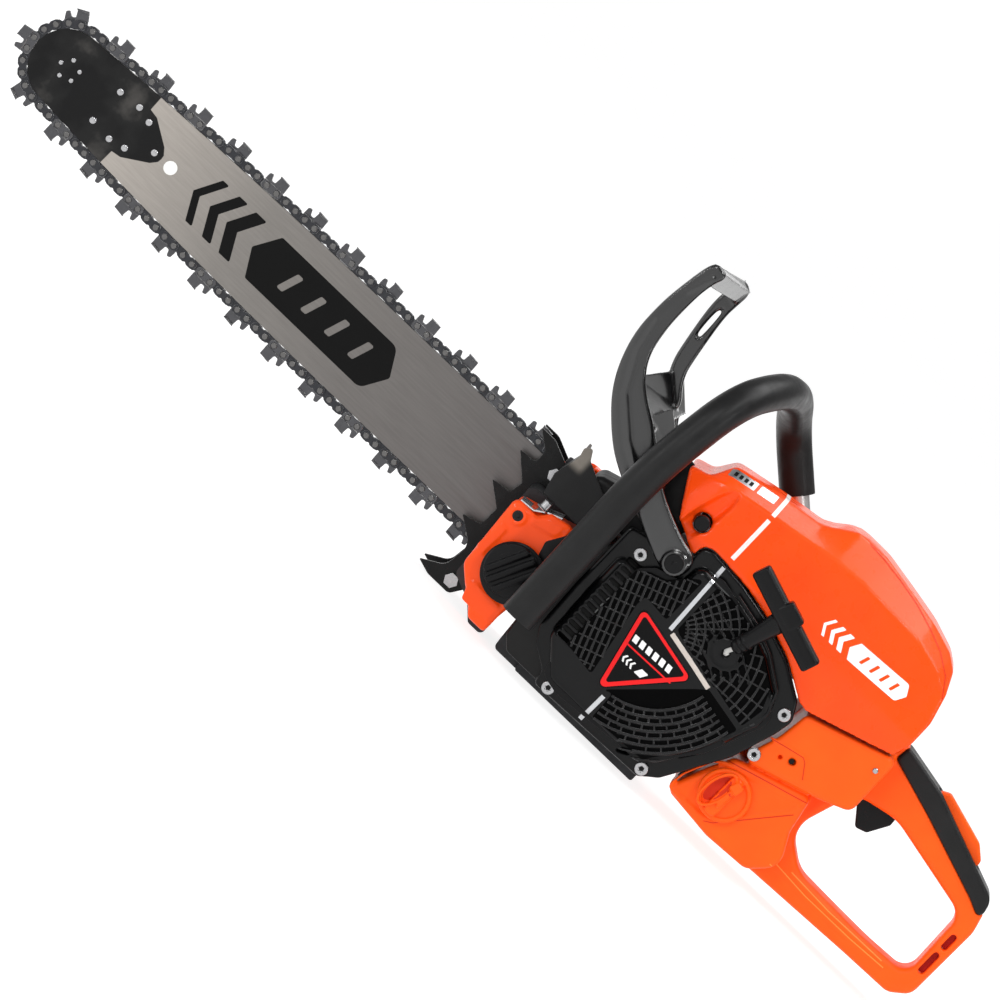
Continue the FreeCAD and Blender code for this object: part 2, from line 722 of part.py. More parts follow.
def starter_cover():
    face_y, dome_y, wall = size("cover_face_y"), size("cover_dome_y"), size("shell_wall")
    shell = side_prism(COVER_OUTLINE, face_y, size("cover_flange_y"))
    shell = rounded(shell, 2.0, lambda edge: flat_in_y(edge, face_y))
    dome = side_prism(DOME_OUTLINE, dome_y, face_y + 1)
    dome = rounded(dome, 5.0, lambda edge: flat_in_y(edge, dome_y))
    shape = shell.fuse(dome)
    shape = shape.cut(inset_prism(COVER_OUTLINE, wall, face_y + wall, 0))
    shape = shape.cut(inset_prism(DOME_OUTLINE, wall, dome_y + wall, face_y + wall + 1))
    outlet = Part.makeCylinder(11.0, 10.0, OUTLET + Vector(0, -2, 0), Y_AXIS)
    slots = Part.makeCompound(cover_slots()).cut(side_prism(badge_border(), -90, 0))
    shape = shape.cut(slots).fuse(outlet.fuse(badge_seat()))
    shape = shape.cut(Part.makeCylinder(3.0, 30.0, OUTLET + Vector(0, -10, 0), Y_AXIS))
    shape = shape.cut(tube_along(rope_path(), 2.6))
    post = disc(6.0, 0, CRANK_Z, dome_y + wall - 1, -60.7)
    shape = shape.fuse(post)
    for x, z in COVER_SCREWS:
        boss = disc(7.0, x, z, face_y, size("cover_flange_y"))
        boss = boss.common(side_prism(COVER_OUTLINE, face_y, 0))
        shape = shape.fuse(boss).cut(disc(size("screw_shank_radius") + 0.1, x, z, face_y - 1, 0))
    shape = shape.cut(disc(3.1, GUARD_PIVOT[0], GUARD_PIVOT[1], face_y - 1, 0))
    add_shape("starter_cover", shape.removeSplitter())


def badge_border():
    """Plain field around the badge, without slots."""
    return [(-36, 113, 6), (46, 95, 6), (-14, 26, 6)]


def badge_seat():
    return side_prism(badge_border(), size("cover_dome_y"), size("cover_dome_y") + size("shell_wall"))


def starter_badge():
    body = plate("starter_badge", [BADGE_CORNERS], "cover_dome_y - 2.2", "cover_dome_y")
    soften_face(body, -Y_AXIS, 0.8)


GRIP_CENTRE = Vector(51.0, -99.0, 173.0)


def flat_in_x(edge, x):
    bounds = edge.BoundBox
    return abs(bounds.XMin - x) < 0.01 and abs(bounds.XMax - x) < 0.01


def oval_wire(centre, normal, along_x, along_other):
    """Ellipse across a direction."""
    direction = Vector(normal).normalize()
    side = Vector(X_AXIS - direction * X_AXIS.dot(direction)).normalize()
    other = direction.cross(side)
    long_axis = max(along_x, along_other)
    short_axis = min(along_x, along_other)
    if long_axis == short_axis:
        return Part.Wire([Part.makeCircle(long_axis, centre, direction)])
    ellipse = Part.Ellipse(centre + side * along_x, centre + other * along_other, centre)
    return Part.Wire([ellipse.toShape()])


def starter_grip():
    """T-handle: a bar across the rope and a stem that tapers towards the outlet."""
    turn = Rotation(Vector(0, 1, 0), math.degrees(math.atan2(0.327, 0.945)))
    bar = Part.makeBox(79, 15, 15, Vector(-39.5, -7.5, -7.5))
    bar = bar.makeFillet(4.5, [edge for edge in bar.Edges if edge.Length > 50])
    ends = [edge for edge in bar.Edges if flat_in_x(edge, -39.5) or flat_in_x(edge, 39.5)]
    bar = bar.makeFillet(2.0, ends)
    bar.Placement = Placement(GRIP_CENTRE, turn)
    foot = OUTLET + Vector(2, -8.5, 8)
    top = GRIP_CENTRE
    wide = oval_wire(top, top - foot, 8.5, 7.0)
    narrow = oval_wire(foot, top - foot, 5.0, 5.0)
    stem = Part.makeLoft([narrow, wide], True, True)
    add_shape("starter_grip", bar.fuse(stem).removeSplitter())


def rope_path():
    """Route of the rope from the reel to the outlet and on towards the grip's stem."""
    reel_point = Vector(19.0, -63.9, CRANK_Z + 8.0)
    rise = Vector(34, -63.9, CRANK_Z + 30)
    return rounded_path([reel_point, rise, OUTLET + Vector(0, 6, -2), OUTLET + Vector(0.6, -4.0, 1.5)])


def starter_rope():
    add_shape("starter_rope", tube_along(rope_path(), 1.8))


# ---------------------------------------------------------------- housings and handles

TOP_OUTLINE = [
    (-74, 201, 3), (-53, 168, 6), (-39, 161, 6), (-27.6, 155, 2), (-25.6, 166, 4), (-18, 169, 8),
    (16, 166, 20), (42, 160.5, 30), (74, 149, 30), (101.5, 132, 8), (109, 131, 3), (177, 151, 4),
    (181, 166, 6), (181, 186, 20), (175, 208, 10), (168, 223, 8), (157, 231, 8), (136, 238, 30),
    (107, 244, 40), (77, 249.5, 20), (57, 250, 10), (42, 247, 10), (33, 238, 10), (23, 233.5, 12),
    (-12, 229, 20), (-48, 222, 8), (-58, 205, 8),
]
# height of the crown and of the shoulder, and both half widths, along the cover
TOP_SECTIONS = [
    (-80, 214, 196, -58.5, 46), (-46, 224, 209, -61.5, 49.5), (0, 232, 217, -62, 50),
    (26, 236, 221, -62, 50), (50, 251, 224, -62, 50), (80, 251, 226, -62, 50),
    (132, 242, 224, -61.5, 49.5), (160, 232, 216, -60, 48), (190, 214, 202, -55, 43),
]


def top_section(row, inset):
    """Cross section of the top cover: side walls, slanted shoulders and a nearly flat crown."""
    x, crown, shoulder, left, right = row
    left, right, crown, shoulder = left + inset, right - inset, crown - inset, shoulder - inset * 0.8
    low = 120.0
    corners = [
        (left, low), (left, 168), (left + 9, shoulder), (left + 30, crown - 2), (left + 52, crown),
        (right - 44, crown), (right - 26, crown - 3), (right - 8, shoulder - 2), (right, 168), (right, low),
    ]
    points = [Vector(x, y, z) for y, z in corners]
    return Part.makePolygon(points + [points[0]])


def top_solid(inset):
    loft = Part.makeLoft([top_section(row, inset) for row in TOP_SECTIONS], True, True)
    outline = inset_prism(TOP_OUTLINE, inset, -80, 80) if inset else side_prism(TOP_OUTLINE, -80, 80)
    return loft, outline


def top_cover():
    wall = size("shell_wall")
    loft, outline = top_solid(0)
    shape = loft.common(outline)
    inner_loft, inner_outline = top_solid(wall)
    lowered = inner_outline.copy()
    lowered.translate(Vector(0, 0, -28))
    hollow = inner_outline.fuse(lowered).common(inner_loft)
    shape = shape.cut(hollow)
    shape = shape.cut(disc(7.0, VALVE_X, VALVE_Z, -70, -50))
    add_shape("top_cover", shape.removeSplitter())


HANDLE_OUTER = [
    (76, 17, 4), (121, 13, 10), (156, 14, 10), (255, 18, 40), (297, 19, 12), (311, 30, 12),
    (312, 94, 20), (305, 120, 14), (225, 151, 30), (181, 161, 6), (177, 150, 2), (112, 129.5, 8),
    (109, 104, 20), (98, 70, 10), (89, 52, 8),
]
HANDLE_LOOP = [
    (164, 58, 22), (190, 38, 26), (255, 36, 60), (298, 38, 12), (296, 97, 14), (215, 115, 40),
    (180, 108, 20),
]
TANK_OUTLINE = [
    (75, 19, 6), (121, 14, 10), (158, 16, 10), (176, 34, 14), (163, 58, 16), (157, 88, 6),
    (97, 70, 6), (88, 52, 8),
]
BLOCK_OUTLINE = [
    (98.5, 72, 6), (160, 90, 14), (184, 100, 8), (183, 151, 6), (112, 129.3, 6), (109, 104, 30),
]
PAD_OUTLINE = [
    (184, 160.5, 3), (225, 152, 30), (305, 121, 12), (309, 103, 4), (292, 111, 20), (229, 133, 30),
    (182.5, 147.5, 3),
]
PAD_CORE = [(170, 160, 2), (225, 147.5, 30), (300, 117.5, 12), (305, 95, 4), (285, 90, 5), (170, 120, 3)]
GUARD_OUTLINE = [
    (158, 17, 4), (255, 19, 30), (300, 20, 6), (300, 33, 5), (255, 33, 30), (190, 34, 20), (165, 44, 5),
]
TANK_SCREW = (104.6, 82.0)
LOCK_SLOT = [(222, 118, 2), (283, 118, 2), (283, 150, 2), (222, 170, 2)]
TRIGGER_SLOT = [(182, 98, 2), (222, 98, 2), (222, 128, 2), (182, 128, 2)]
LOCK_PIVOT = (229.0, 143.0)
TRIGGER_PIVOT = (192.0, 118.0)


def grip_core():
    return side_prism(PAD_CORE, -14.5, 14.5)


def pad_solid():
    half = size("grip_half_width") + 1.5
    band = side_prism(PAD_OUTLINE, -half, half)
    band = round_sides(band, 2.5, -half, half)
    band = band.cut(grip_core())
    return band.cut(side_prism(LOCK_SLOT, -6.5, 6.5))


def rear_handle():
    half = size("grip_half_width")
    outer = side_prism(HANDLE_OUTER, -half, half)
    loop = side_prism(HANDLE_LOOP, -half - 1, half + 1)
    bow = outer.cut(loop)
    bow = round_sides(bow, 5.0, -half, half)
    tank = side_prism(TANK_OUTLINE, size("tank_low_y"), size("tank_high_y"))
    tank = round_sides(tank, 4.5, size("tank_low_y"), size("tank_high_y"))
    block = side_prism(BLOCK_OUTLINE, -56, size("tank_high_y"))
    block = round_sides(block, 4.0, -56, size("tank_high_y"))
    guard = side_prism(GUARD_OUTLINE, 0, 46)
    guard = rounded(guard, 4.0, lambda edge: flat_in_y(edge, 46))
    shape = bow.fuse([tank, block, guard]).removeSplitter()
    shape = shape.cut(side_prism(LOCK_SLOT, -6.5, 6.5)).cut(side_prism(TRIGGER_SLOT, -6.5, 6.5))
    shape = shape.cut(box(92, 150, -44, 41, 24, 58))
    shape = shape.cut(disc(13.3, FUEL_X, FUEL_Z, -60, -30))
    shape = shape.cut(pad_solid())
    for z_low, z_high in ((46, 66), (70, 84)):
        shape = shape.cut(box(301.5, 306.5, -20, 20, z_low, z_high))
    for x, z, radius in ((128.5, 97, 2.6), (119.5, 93.5, 1.9)):
        shape = shape.cut(disc(radius, x, z, -60, -50))
    shape = shape.cut(disc(2.5, TANK_SCREW[0], TANK_SCREW[1], -60, -44))
    for pivot, radius in ((LOCK_PIVOT, 2.05), (TRIGGER_PIVOT, 2.05)):
        shape = shape.cut(disc(radius, pivot[0], pivot[1], -12, 12))
    add_shape("rear_handle", shape)


def grip_pad():
    add_shape("grip_pad", pad_solid())


def throttle_trigger():
    pivot_x, pivot_z = TRIGGER_PIVOT
    outline = [
        (185, 104, 2), (197, 89, 3), (206, 92, 2), (215, 108, 3), (214, 119, 2), (196, 123, 3),
        (186, 121, 3),
    ]
    body = plate("throttle_trigger", [outline], "-5.8", "5.8")
    soften_face(body, -Y_AXIS, 1.5)
    soften_face(body, Y_AXIS, 1.5)
    pad_circle(body, "2", pivot_x, pivot_z, "-11", "11")


def throttle_lock():
    pivot_x, pivot_z = LOCK_PIVOT
    outline = [
        (223.5, 141, 2), (224, 152, 3), (231, 155.5, 3), (271, 143.5, 8), (280.5, 135, 3), (281, 130, 2),
        (270, 128, 3), (236, 138, 3),
    ]
    body = plate("throttle_lock", [outline], "-5.8", "5.8")
    soften_face(body, -Y_AXIS, 1.5)
    soften_face(body, Y_AXIS, 1.5)
    pad_circle(body, "2", pivot_x, pivot_z, "-11", "11")


def choke_knob():
    shape = disc(4.0, 144, 104, 45.3, 56).fuse(disc(9.0, 144, 104, 51, 58))
    add_shape("choke_knob", rounded(shape, 1.5, lambda edge: flat_in_y(edge, 58)))


def stop_switch():
    outline = rectangle(154, 170, 118, 128, 3)
    body = plate("stop_switch", [outline], "tank_high_y + part_gap", "tank_high_y + 6")
    soften_face(body, Y_AXIS, 1.5)


def cap_solid(radius, neck, x, z, face_y, height, depth):
    """Screw cap with a raised fold-down lever across it; face_y is the wall it closes."""
    rim = disc(radius, x, z, face_y - height, face_y - 0.3)
    rim = rounded(rim, 2.0, lambda edge: flat_in_y(edge, face_y - height))
    dish = ring(radius - 3.5, 5.5, x, z, face_y - height, face_y - height + 2.0)
    lever_low = face_y - height - 3.5
    lever = side_prism([(x - 5, z - radius + 3, 4), (x + 5, z - radius + 3, 4), (x + 5, z + radius - 3, 4),
                        (x - 5, z + radius - 3, 4)], lever_low, face_y - height + 3)
    lever = rounded(lever, 1.2, lambda edge: flat_in_y(edge, lever_low))
    return rim.cut(dish).fuse(lever).fuse(disc(neck, x, z, face_y - 0.5, face_y + depth))


def fuel_cap():
    shape = cap_solid(20.0, 13.0, FUEL_X, FUEL_Z, size("tank_low_y"), 6.0, 12.0)
    add_shape("fuel_cap", shape.removeSplitter())


def oil_cap():
    shape = cap_solid(18.0, 12.0, FILLER_X, FILLER_Z, size("tank_left_y"), 6.5, 8.0)
    add_shape("oil_cap", shape.removeSplitter())


# Centre line of the front handle, from its lower left end over the top to its right foot.
HANDLE_LINE = [
    Vector(-88, -115, 41), Vector(-92, -115, 186), Vector(-81, -101, 262), Vector(-62, -48, 287),
    Vector(-50, 18, 284), Vector(-36, 57, 264), Vector(14, 61, 218), Vector(48, 60.5, 184),
    Vector(103, 60, 150), Vector(117, 60, 121),
]
SLEEVE_END = Vector(-36, 57, 264) + (Vector(14, 61, 218) - Vector(-36, 57, 264)) * 0.72


def handle_path():
    return rounded_path(HANDLE_LINE)


def sleeve_path():
    return rounded_path(HANDLE_LINE[:6] + [SLEEVE_END])


def front_handle_tube():
    radius = size("tube_radius")
    shape = tube_along(handle_path(), radius).cut(tube_along(handle_path(), radius - 1.8))
    foot = side_prism([(104, 110, 5), (128, 110, 5), (128, 127, 5), (104, 127, 5)], 45.3, 53.5)
    foot = foot.cut(tube_along(handle_path(), radius - 0.5))
    add_shape("front_handle_tube", shape.fuse(foot).removeSplitter())


def front_handle_grip():
    outer = tube_along(sleeve_path(), size("sleeve_radius"))
    add_shape("front_handle_grip", outer.cut(tube_along(handle_path(), size("tube_radius") + 0.1)))


def handle_bracket():
    outline = [(-96.5, 52, 4), (-84, 40, 4), (-76.2, 48, 4), (-76.2, 96, 4), (-96.5, 96, 4)]
    shape = side_prism(outline, -112, -47.9)
    start, end = HANDLE_LINE[0], HANDLE_LINE[1]
    along = (end - start).normalize()
    leg = Part.makeCylinder(size("sleeve_radius") + 0.2, 200, start - along * 30, along)
    shape = shape.cut(leg)
    pieces = sorted(shape.Solids, key=lambda piece: piece.Volume)
    add_shape("handle_bracket", pieces[-1])


GUARD_PIVOT = (-33.0, 143.0)
GUARD_ARM = [
    (-162, 318, 8), (-147, 318, 4), (-154, 290, 20), (-154, 262, 20), (-149, 236, 20),
    (-134, 218, 20), (-108, 202, 20), (-78, 176, 20), (-42, 160, 10), (-22, 156, 8), (-21, 140, 10),
    (-33, 131, 8), (-74, 148, 20), (-112, 165, 20), (-132, 180, 20), (-156, 206, 30),
    (-169, 240, 30), (-170, 272, 30),
]
GUARD_FAR_ARM = [
    (-138, 321, 6), (-127, 316, 4), (-129, 290, 20), (-124, 256, 20), (-120, 236, 10),
    (-104, 218, 6), (-116, 212, 6), (-134, 236, 10), (-139, 262, 20), (-143, 290, 20),
]
GUARD_RIGHT_ARM = [
    (-122, 236, 8), (-104, 234, 8), (-92, 214, 16), (-70, 184, 16), (-40, 162, 10), (-22, 154, 8),
    (-22, 140, 8), (-34, 132, 8), (-66, 156, 16), (-96, 186, 16), (-118, 212, 10),
]


def guard_section(corners, y):
    points = [Vector(x, y, z) for x, z in corners]
    return Part.makePolygon(points + [points[0]])


def hand_guard():
    near = round_sides(side_prism(GUARD_ARM, -72.5, -65.6), 2.0, -72.5, -65.6)
    far = side_prism(GUARD_FAR_ARM, 24, 34)
    right = round_sides(side_prism(GUARD_RIGHT_ARM, 52, 59), 2.0, 52, 59)
    top_near = [(-161, 317), (-148, 317), (-152.5, 302), (-166, 300)]
    top_far = [(-137, 320.5), (-127.5, 316), (-129, 303), (-141.5, 306)]
    bar = Part.makeLoft([guard_section(top_near, -67), guard_section(top_far, 30)], True, True)
    low_near = [(-146, 222), (-109, 203), (-112, 196), (-150, 214)]
    low_far = [(-124, 240), (-96, 215), (-101, 209), (-129, 233)]
    panel = Part.makeLoft([guard_section(low_near, -66), guard_section(low_far, 56)], True, True)
    shape = near.fuse([far, right, bar, panel])
    shape = shape.fuse([disc(9.5, GUARD_PIVOT[0], GUARD_PIVOT[1], -74, -62.4)])
    shape = shape.cut(disc(3.05, GUARD_PIVOT[0], GUARD_PIVOT[1], -80, 80))
    add_shape("hand_guard", shape.removeSplitter())


# ---------------------------------------------------------------- clutch side

def clutch_hub():
    hub = ring(13.0, size("shaft_radius") + size("fit_gap"), 0, CRANK_Z, 41, 51)
    for angle in (30, 150, 270):
        arm = box(10, 17, 42, 50, CRANK_Z - 4, CRANK_Z + 4)
        arm.rotate(Vector(0, 0, CRANK_Z), Y_AXIS, angle)
        hub = hub.fuse(arm.cut(disc(9, 0, CRANK_Z, 40, 52)))
    add_shape("clutch_hub", hub.removeSplitter())


def clutch_shoes():
    shoe_ring = ring(34.6, 18.0, 0, CRANK_Z, 42, 50)
    shoes = []
    for angle in (30, 150, 270):
        corners = [(0, CRANK_Z), (100, CRANK_Z - 145), (200, CRANK_Z), (100, CRANK_Z + 145)]
        wedge = side_prism(corners, 40, 52)
        wedge.rotate(Vector(0, 0, CRANK_Z), Y_AXIS, angle)
        shoes.append(shoe_ring.common(wedge))
    group("clutch_shoes", shoes)


def clutch_drum():
    outer = size("drum_radius")
    bore = size("shaft_radius") + 0.2
    profile = [(bore, 52.5), (outer - 2.5, 52.5), (outer - 2.5, 40), (outer, 40), (outer, 55), (10, 55),
               (10, 67.4), (bore, 67.4)]
    turned("clutch_drum", profile, 0, CRANK_Z)


def brake_band():
    band = ring(size("drum_radius") + 1.6, size("drum_radius") + 0.4, 0, CRANK_Z, 41.5, 51.5)
    add_shape("brake_band", band.cut(box(-60, 0, 40, 53, CRANK_Z - 6, CRANK_Z + 6)))


def tooth_wheel(teeth, root, tip, half_angle, phase, y_low, y_high, bore):
    """Disc with radial teeth; phase is the angle of one tooth, counted from +X towards +Z."""
    shape = ring(root, bore, 0, 0, y_low, y_high)
    for index in range(teeth):
        angle = phase + 2 * math.pi * index / teeth
        corners = []
        for radius, share in ((root - 1, 1.0), (tip, 0.35)):
            corners.append((radius, angle - half_angle * share))
            corners.append((radius, angle + half_angle * share))
        order = [corners[0], corners[2], corners[3], corners[1]]
        points = [(radius * math.cos(turn), radius * math.sin(turn)) for radius, turn in order]
        shape = shape.fuse(side_prism(points, y_low, y_high))
    return shape.removeSplitter()


def rim_sprocket():
    gauge = size("chain_gauge") / 2
    teeth = int(size("sprocket_teeth"))
    phase = tooth_phase(Vector(0, 0, CRANK_Z), 1)
    core = tooth_wheel(teeth, 11.9, 15.8, 0.16, phase, BAR_Y - gauge, BAR_Y + gauge, 10.05)
    shape = core
    for side in (-1, 1):
        y_low, y_high = sorted((BAR_Y + side * gauge, BAR_Y + side * (gauge + 4.0)))
        shape = shape.fuse(ring(16.6, 10.05, 0, 0, y_low, y_high))
    shape = shape.removeSplitter()
    shape.translate(Vector(0, 0, CRANK_Z))
    add_shape("rim_sprocket", shape)


def oil_pump():
    shape = box(-61.5, -43.5, 38.3, 45.6, 34.5, 51.5)
    add_shape("oil_pump", rounded(shape, 2.0, lambda edge: edge.BoundBox.YLength > 5))


CLUTCH_COVER_OUTLINE = [
    (-148, 44, 8), (-148, 120, 6), (-139, 128, 6), (-124, 141, 10), (-60, 143, 30), (10, 141, 30),
    (44, 128, 30), (58, 100, 25), (60, 40, 25), (40, 0.5, 10), (-66, 0.5, 10), (-84, 28, 10),
    (-140, 32, 8),
]


def clutch_cover():
    """Side plate with a wall over the chain; the front and the underside stay open for it."""
    plate_shape = side_prism(CLUTCH_COVER_OUTLINE, 84, 88)
    plate_shape = rounded(plate_shape, 2.0, lambda edge: flat_in_y(edge, 88))
    wall_ring = side_prism(CLUTCH_COVER_OUTLINE, 66, 84.5)
    wall_ring = wall_ring.cut(inset_prism(CLUTCH_COVER_OUTLINE, 3.0, 60, 90))
    wall_ring = wall_ring.cut(box(-160, -121, 60, 84.4, 0, 200))
    wall_ring = wall_ring.cut(box(-160, -40, 60, 84.4, -1, 60))
    shape = plate_shape.fuse(wall_ring)
    dome = disc(46, 4, CRANK_Z - 2, 87, 96)
    dome = rounded(dome, 5.0, lambda edge: flat_in_y(edge, 96))
    shape = shape.fuse(dome).cut(disc(42, 4, CRANK_Z - 2, 80, 92))
    for name in ("stud_front_x", "stud_rear_x"):
        x = size(name)
        boss = disc(9, x, CRANK_Z, BAR_Y + size("bar_thickness") / 2 + 0.05, 86)
        shape = shape.fuse(boss).cut(disc(size("stud_radius") + 0.3, x, CRANK_Z, 60, 90))
    for x, z in SPIKE_BOLTS:
        shape = shape.cut(disc(3.3, x, z, 80, 90))
    pivot_x, pivot_z = GUARD_PIVOT
    shape = shape.fuse(disc(8, pivot_x, pivot_z, 66, 87)).cut(disc(3.1, pivot_x, pivot_z, 60, 80))
    for index in range(5):
        z = 52 + index * 14
        shape = shape.fuse(box(-44, -40 + index, 87.5, 89.5, z, z + 6))
    add_shape("clutch_cover", shape.removeSplitter())


def bar_nuts():
    """Two studs of the bar pad with their flanged nuts."""
    pieces = []
    for name in ("stud_front_x", "stud_rear_x"):
        x = size(name)
        stud = disc(size("stud_radius"), x, CRANK_Z, 36, 98)
        nut = hexagon(7.5, x, CRANK_Z, 89.5, 96).fuse(disc(9.0, x, CRANK_Z, 88, 89.6))
        pieces.append(stud.fuse(nut).removeSplitter())
    group("bar_nuts", pieces)


SPIKE_OUTLINE = [
    (-170, 137, 0.5), (-156, 137, 10), (-140, 130, 6), (-128, 122, 6), (-128, 30, 8), (-127, 12, 5),
    (-135, 0, 5), (-156, 0, 12), (-168.5, 4, 0.5), (-151, 14, 10), (-148, 36, 12), (-168, 50, 0.5),
    (-153, 54, 2), (-152, 70, 3), (-170, 84, 0.5), (-154, 86, 2), (-152, 97, 3), (-170, 114, 0.5),
    (-155, 115, 4), (-156, 126, 4),
]
SPIKE_BOLTS = [(-140.0, 9.0), (-138.0, 118.0)]


def spike(label, y_low_name):
    body = plate(label, [SPIKE_OUTLINE], y_low_name, y_low_name + " + spike_thickness")
    for x, z in SPIKE_BOLTS:
        pocket_circle(body, "3.2", x, z, y_low_name, y_low_name + " + spike_thickness")


def spike_inner():
    spike("spike_inner", "case_right_y")


def spike_outer():
    spike("spike_outer", "88")


def spike_bolts():
    """Hexagon bolts that hold the two spikes."""
    pieces = []
    for x, z in SPIKE_BOLTS:
        inner = disc(3.15, x, z, 40.5, 51).fuse(hexagon(5.8, x, z, 40.5, 45.9))
        pieces.append(inner.fuse(disc(5.0, x, z, 49, 51)).removeSplitter())
        outer = disc(3.15, x, z, 84.5, 96).fuse(hexagon(5.8, x, z, 91, 95.5))
        pieces.append(outer.removeSplitter())
    return pieces


# ---------------------------------------------------------------- bar and chain

PITCH = size("chain_pitch")
RAIL_GAP = size("rail_to_rivet")
LINK_COUNT = 146                # sides between rivets: 73 drive links and 73 pairs of side links
BELLY_X = -180.0                # the bar has its full height from here to the tail
TAIL_START_X = -95.0
TAIL_RADIUS = 80.0


def polygon_radius(teeth):
    """Radius of the rivets' circle on a wheel that takes two rivets for each tooth."""
    return PITCH / (2 * math.sin(math.pi / (2 * teeth)))


SPROCKET_RADIUS = polygon_radius(size("sprocket_teeth"))
NOSE_RADIUS = polygon_radius(size("nose_teeth"))
NOSE_RAIL = NOSE_RADIUS - RAIL_GAP


def nose_tangent(nose_x):
    """Angle at which the bar's bellied edge leaves the round nose."""
    angle = 0.05
    for _ in range(20):
        reach = BELLY_X - (nose_x - NOSE_RAIL * math.sin(angle))
        drop = size("bar_half_height") - NOSE_RAIL * math.cos(angle)
        angle = math.atan(3 * drop / reach)
    return angle


def edge_point(nose_x, share):
    """Point of the bar's upper edge and its outward normal, share 0 at the nose and 1 at the belly."""
    angle = nose_tangent(nose_x)
    start_x = nose_x - NOSE_RAIL * math.sin(angle)
    drop = size("bar_half_height") - NOSE_RAIL * math.cos(angle)
    x = start_x + share * (BELLY_X - start_x)
    height = size("bar_half_height") - drop * (1 - share) ** 3
    slope = 3 * drop * (1 - share) ** 2 / (BELLY_X - start_x)
    normal = Vector(-slope, 0, 1).normalize()
    return Vector(x, 0, height), normal


def tail_angle():
    """Slope of the chain between the bar's tail and the sprocket."""
    centre = Vector(TAIL_START_X, 0, size("bar_half_height") - TAIL_RADIUS)
    reach = TAIL_RADIUS + RAIL_GAP - SPROCKET_RADIUS
    distance = math.hypot(centre.x, centre.z)
    return math.asin(reach / distance) - math.atan2(-centre.z, -centre.x)


def half_route(nose_x):
    """Closely spaced points of the rivets' route, from behind the sprocket over the top to the tip."""
    points = []
    lean = tail_angle()
    for step in range(181):
        angle = math.radians(step) * (90 + math.degrees(-lean)) / 180
        points.append(Vector(SPROCKET_RADIUS * math.cos(angle), 0, SPROCKET_RADIUS * math.sin(angle)))
    centre = Vector(TAIL_START_X, 0, size("bar_half_height") - TAIL_RADIUS)
    for step in range(21):
        angle = lean * (1 - step / 20)
        radius = TAIL_RADIUS + RAIL_GAP
        points.append(centre + Vector(radius * math.sin(angle), 0, radius * math.cos(angle)))
    for step in range(61):
        point, normal = edge_point(nose_x, 1 - step / 60)
        points.append(point + normal * RAIL_GAP)
    start = nose_tangent(nose_x)
    for step in range(1, 91):
        angle = start + (math.pi / 2 - start) * step / 90
        points.append(Vector(nose_x - NOSE_RADIUS * math.sin(angle), 0, NOSE_RADIUS * math.cos(angle)))
    return divided(points, 2.0)


def divided(points, longest):
    """The same line with no run longer than a given length."""
    result = [points[0]]
    for start, end in zip(points, points[1:]):
        pieces = max(1, math.ceil((end - start).Length / longest))
        for piece in range(1, pieces + 1):
            result.append(start + (end - start) * (piece / pieces))
    return result


def walk(points, count):
    """Points one chord pitch apart along a dense line, starting at its first point."""
    found = [points[0]]
    segment = 0
    while len(found) <= count:
        here = found[-1]
        while segment < len(points) - 1 and (points[segment + 1] - here).Length < PITCH:
            segment += 1
        if segment >= len(points) - 1:
            direction = (points[-1] - here).normalize()
            found.append(here + direction * PITCH)
            continue
        low, high = 0.0, 1.0
        span = points[segment + 1] - points[segment]
        for _ in range(40):
            middle = (low + high) / 2
            if (points[segment] + span * middle - here).Length < PITCH:
                low = middle
            else:
                high = middle
        found.append(points[segment] + span * low)
    return found


def mirrored_route(nose_x):
    """The route over the top and on around the nose, so that a walk can pass the tip."""
    upper = half_route(nose_x)
    lower = [Vector(point.x, 0, -point.z) for point in reversed(upper[:-1])]
    return upper + lower


def solve_nose():
    """Place of the nose at which half the rivets end exactly at the bar's tip."""
    front, back = -640.0, -560.0
    for _ in range(36):
        nose_x = (front + back) / 2
        last = walk(mirrored_route(nose_x), LINK_COUNT // 2)[-1]
        if last.z > 0:
            front = nose_x
        else:
            back = nose_x
    return nose_x


NOSE_X = solve_nose()


def rivet_points():
    """All rivets in the chain's running direction, from behind the sprocket over the top."""
    upper = walk(mirrored_route(NOSE_X), LINK_COUNT // 2)
    lower = [Vector(point.x, 0, -point.z) for point in reversed(upper[1:-1])]
    lift = Vector(0, BAR_Y, CRANK_Z)
    return [point + lift for point in upper + lower]


RIVETS = rivet_points()


def tooth_phase(centre, index):
    """Angle at which the gap between two drive links meets a wheel's tooth."""
    middle = (RIVETS[index] + RIVETS[(index + 1) % LINK_COUNT]) * 0.5
    return math.atan2(middle.z - centre.z, middle.x - centre.x)


def link_placement(index):
    """Frame of a link: x to the next rivet, y to the left side of the saw, z away from the bar."""
    start, end = RIVETS[index], RIVETS[(index + 1) % LINK_COUNT]
    along = (end - start).normalize()
    outward = along.cross(-Y_AXIS)
    matrix = FreeCAD.Matrix(along.x, 0, outward.x, start.x, 0, -1, 0, start.y,
                            along.z, 0, outward.z, start.z, 0, 0, 0, 1)
    return Placement(matrix)


def placed(shape, index):
    copy = shape.copy()
    copy.Placement = link_placement(index)
    return copy


def drilled(shape):
    """Both rivet holes of a link."""
    radius = size("rivet_radius") + size("fit_gap")
    return shape.cut([disc(radius, x, 0, -9, 9) for x in (0, PITCH)])


def drive_link():
    half = size("chain_gauge") / 2
    outline = [(-3.8, -2.2, 1.5), (-3.8, 3.4, 2.5), (3.0, 3.4, 2), (4.76, 1.6, 1.2), (6.5, 3.4, 2),
               (13.3, 3.4, 2.5), (13.3, -2.2, 1.5), (9.2, -4.6, 2), (6.2, -8.8, 1), (3.0, -8.8, 1),
               (0.6, -4.6, 2)]
    return drilled(side_prism(outline, -half, half))


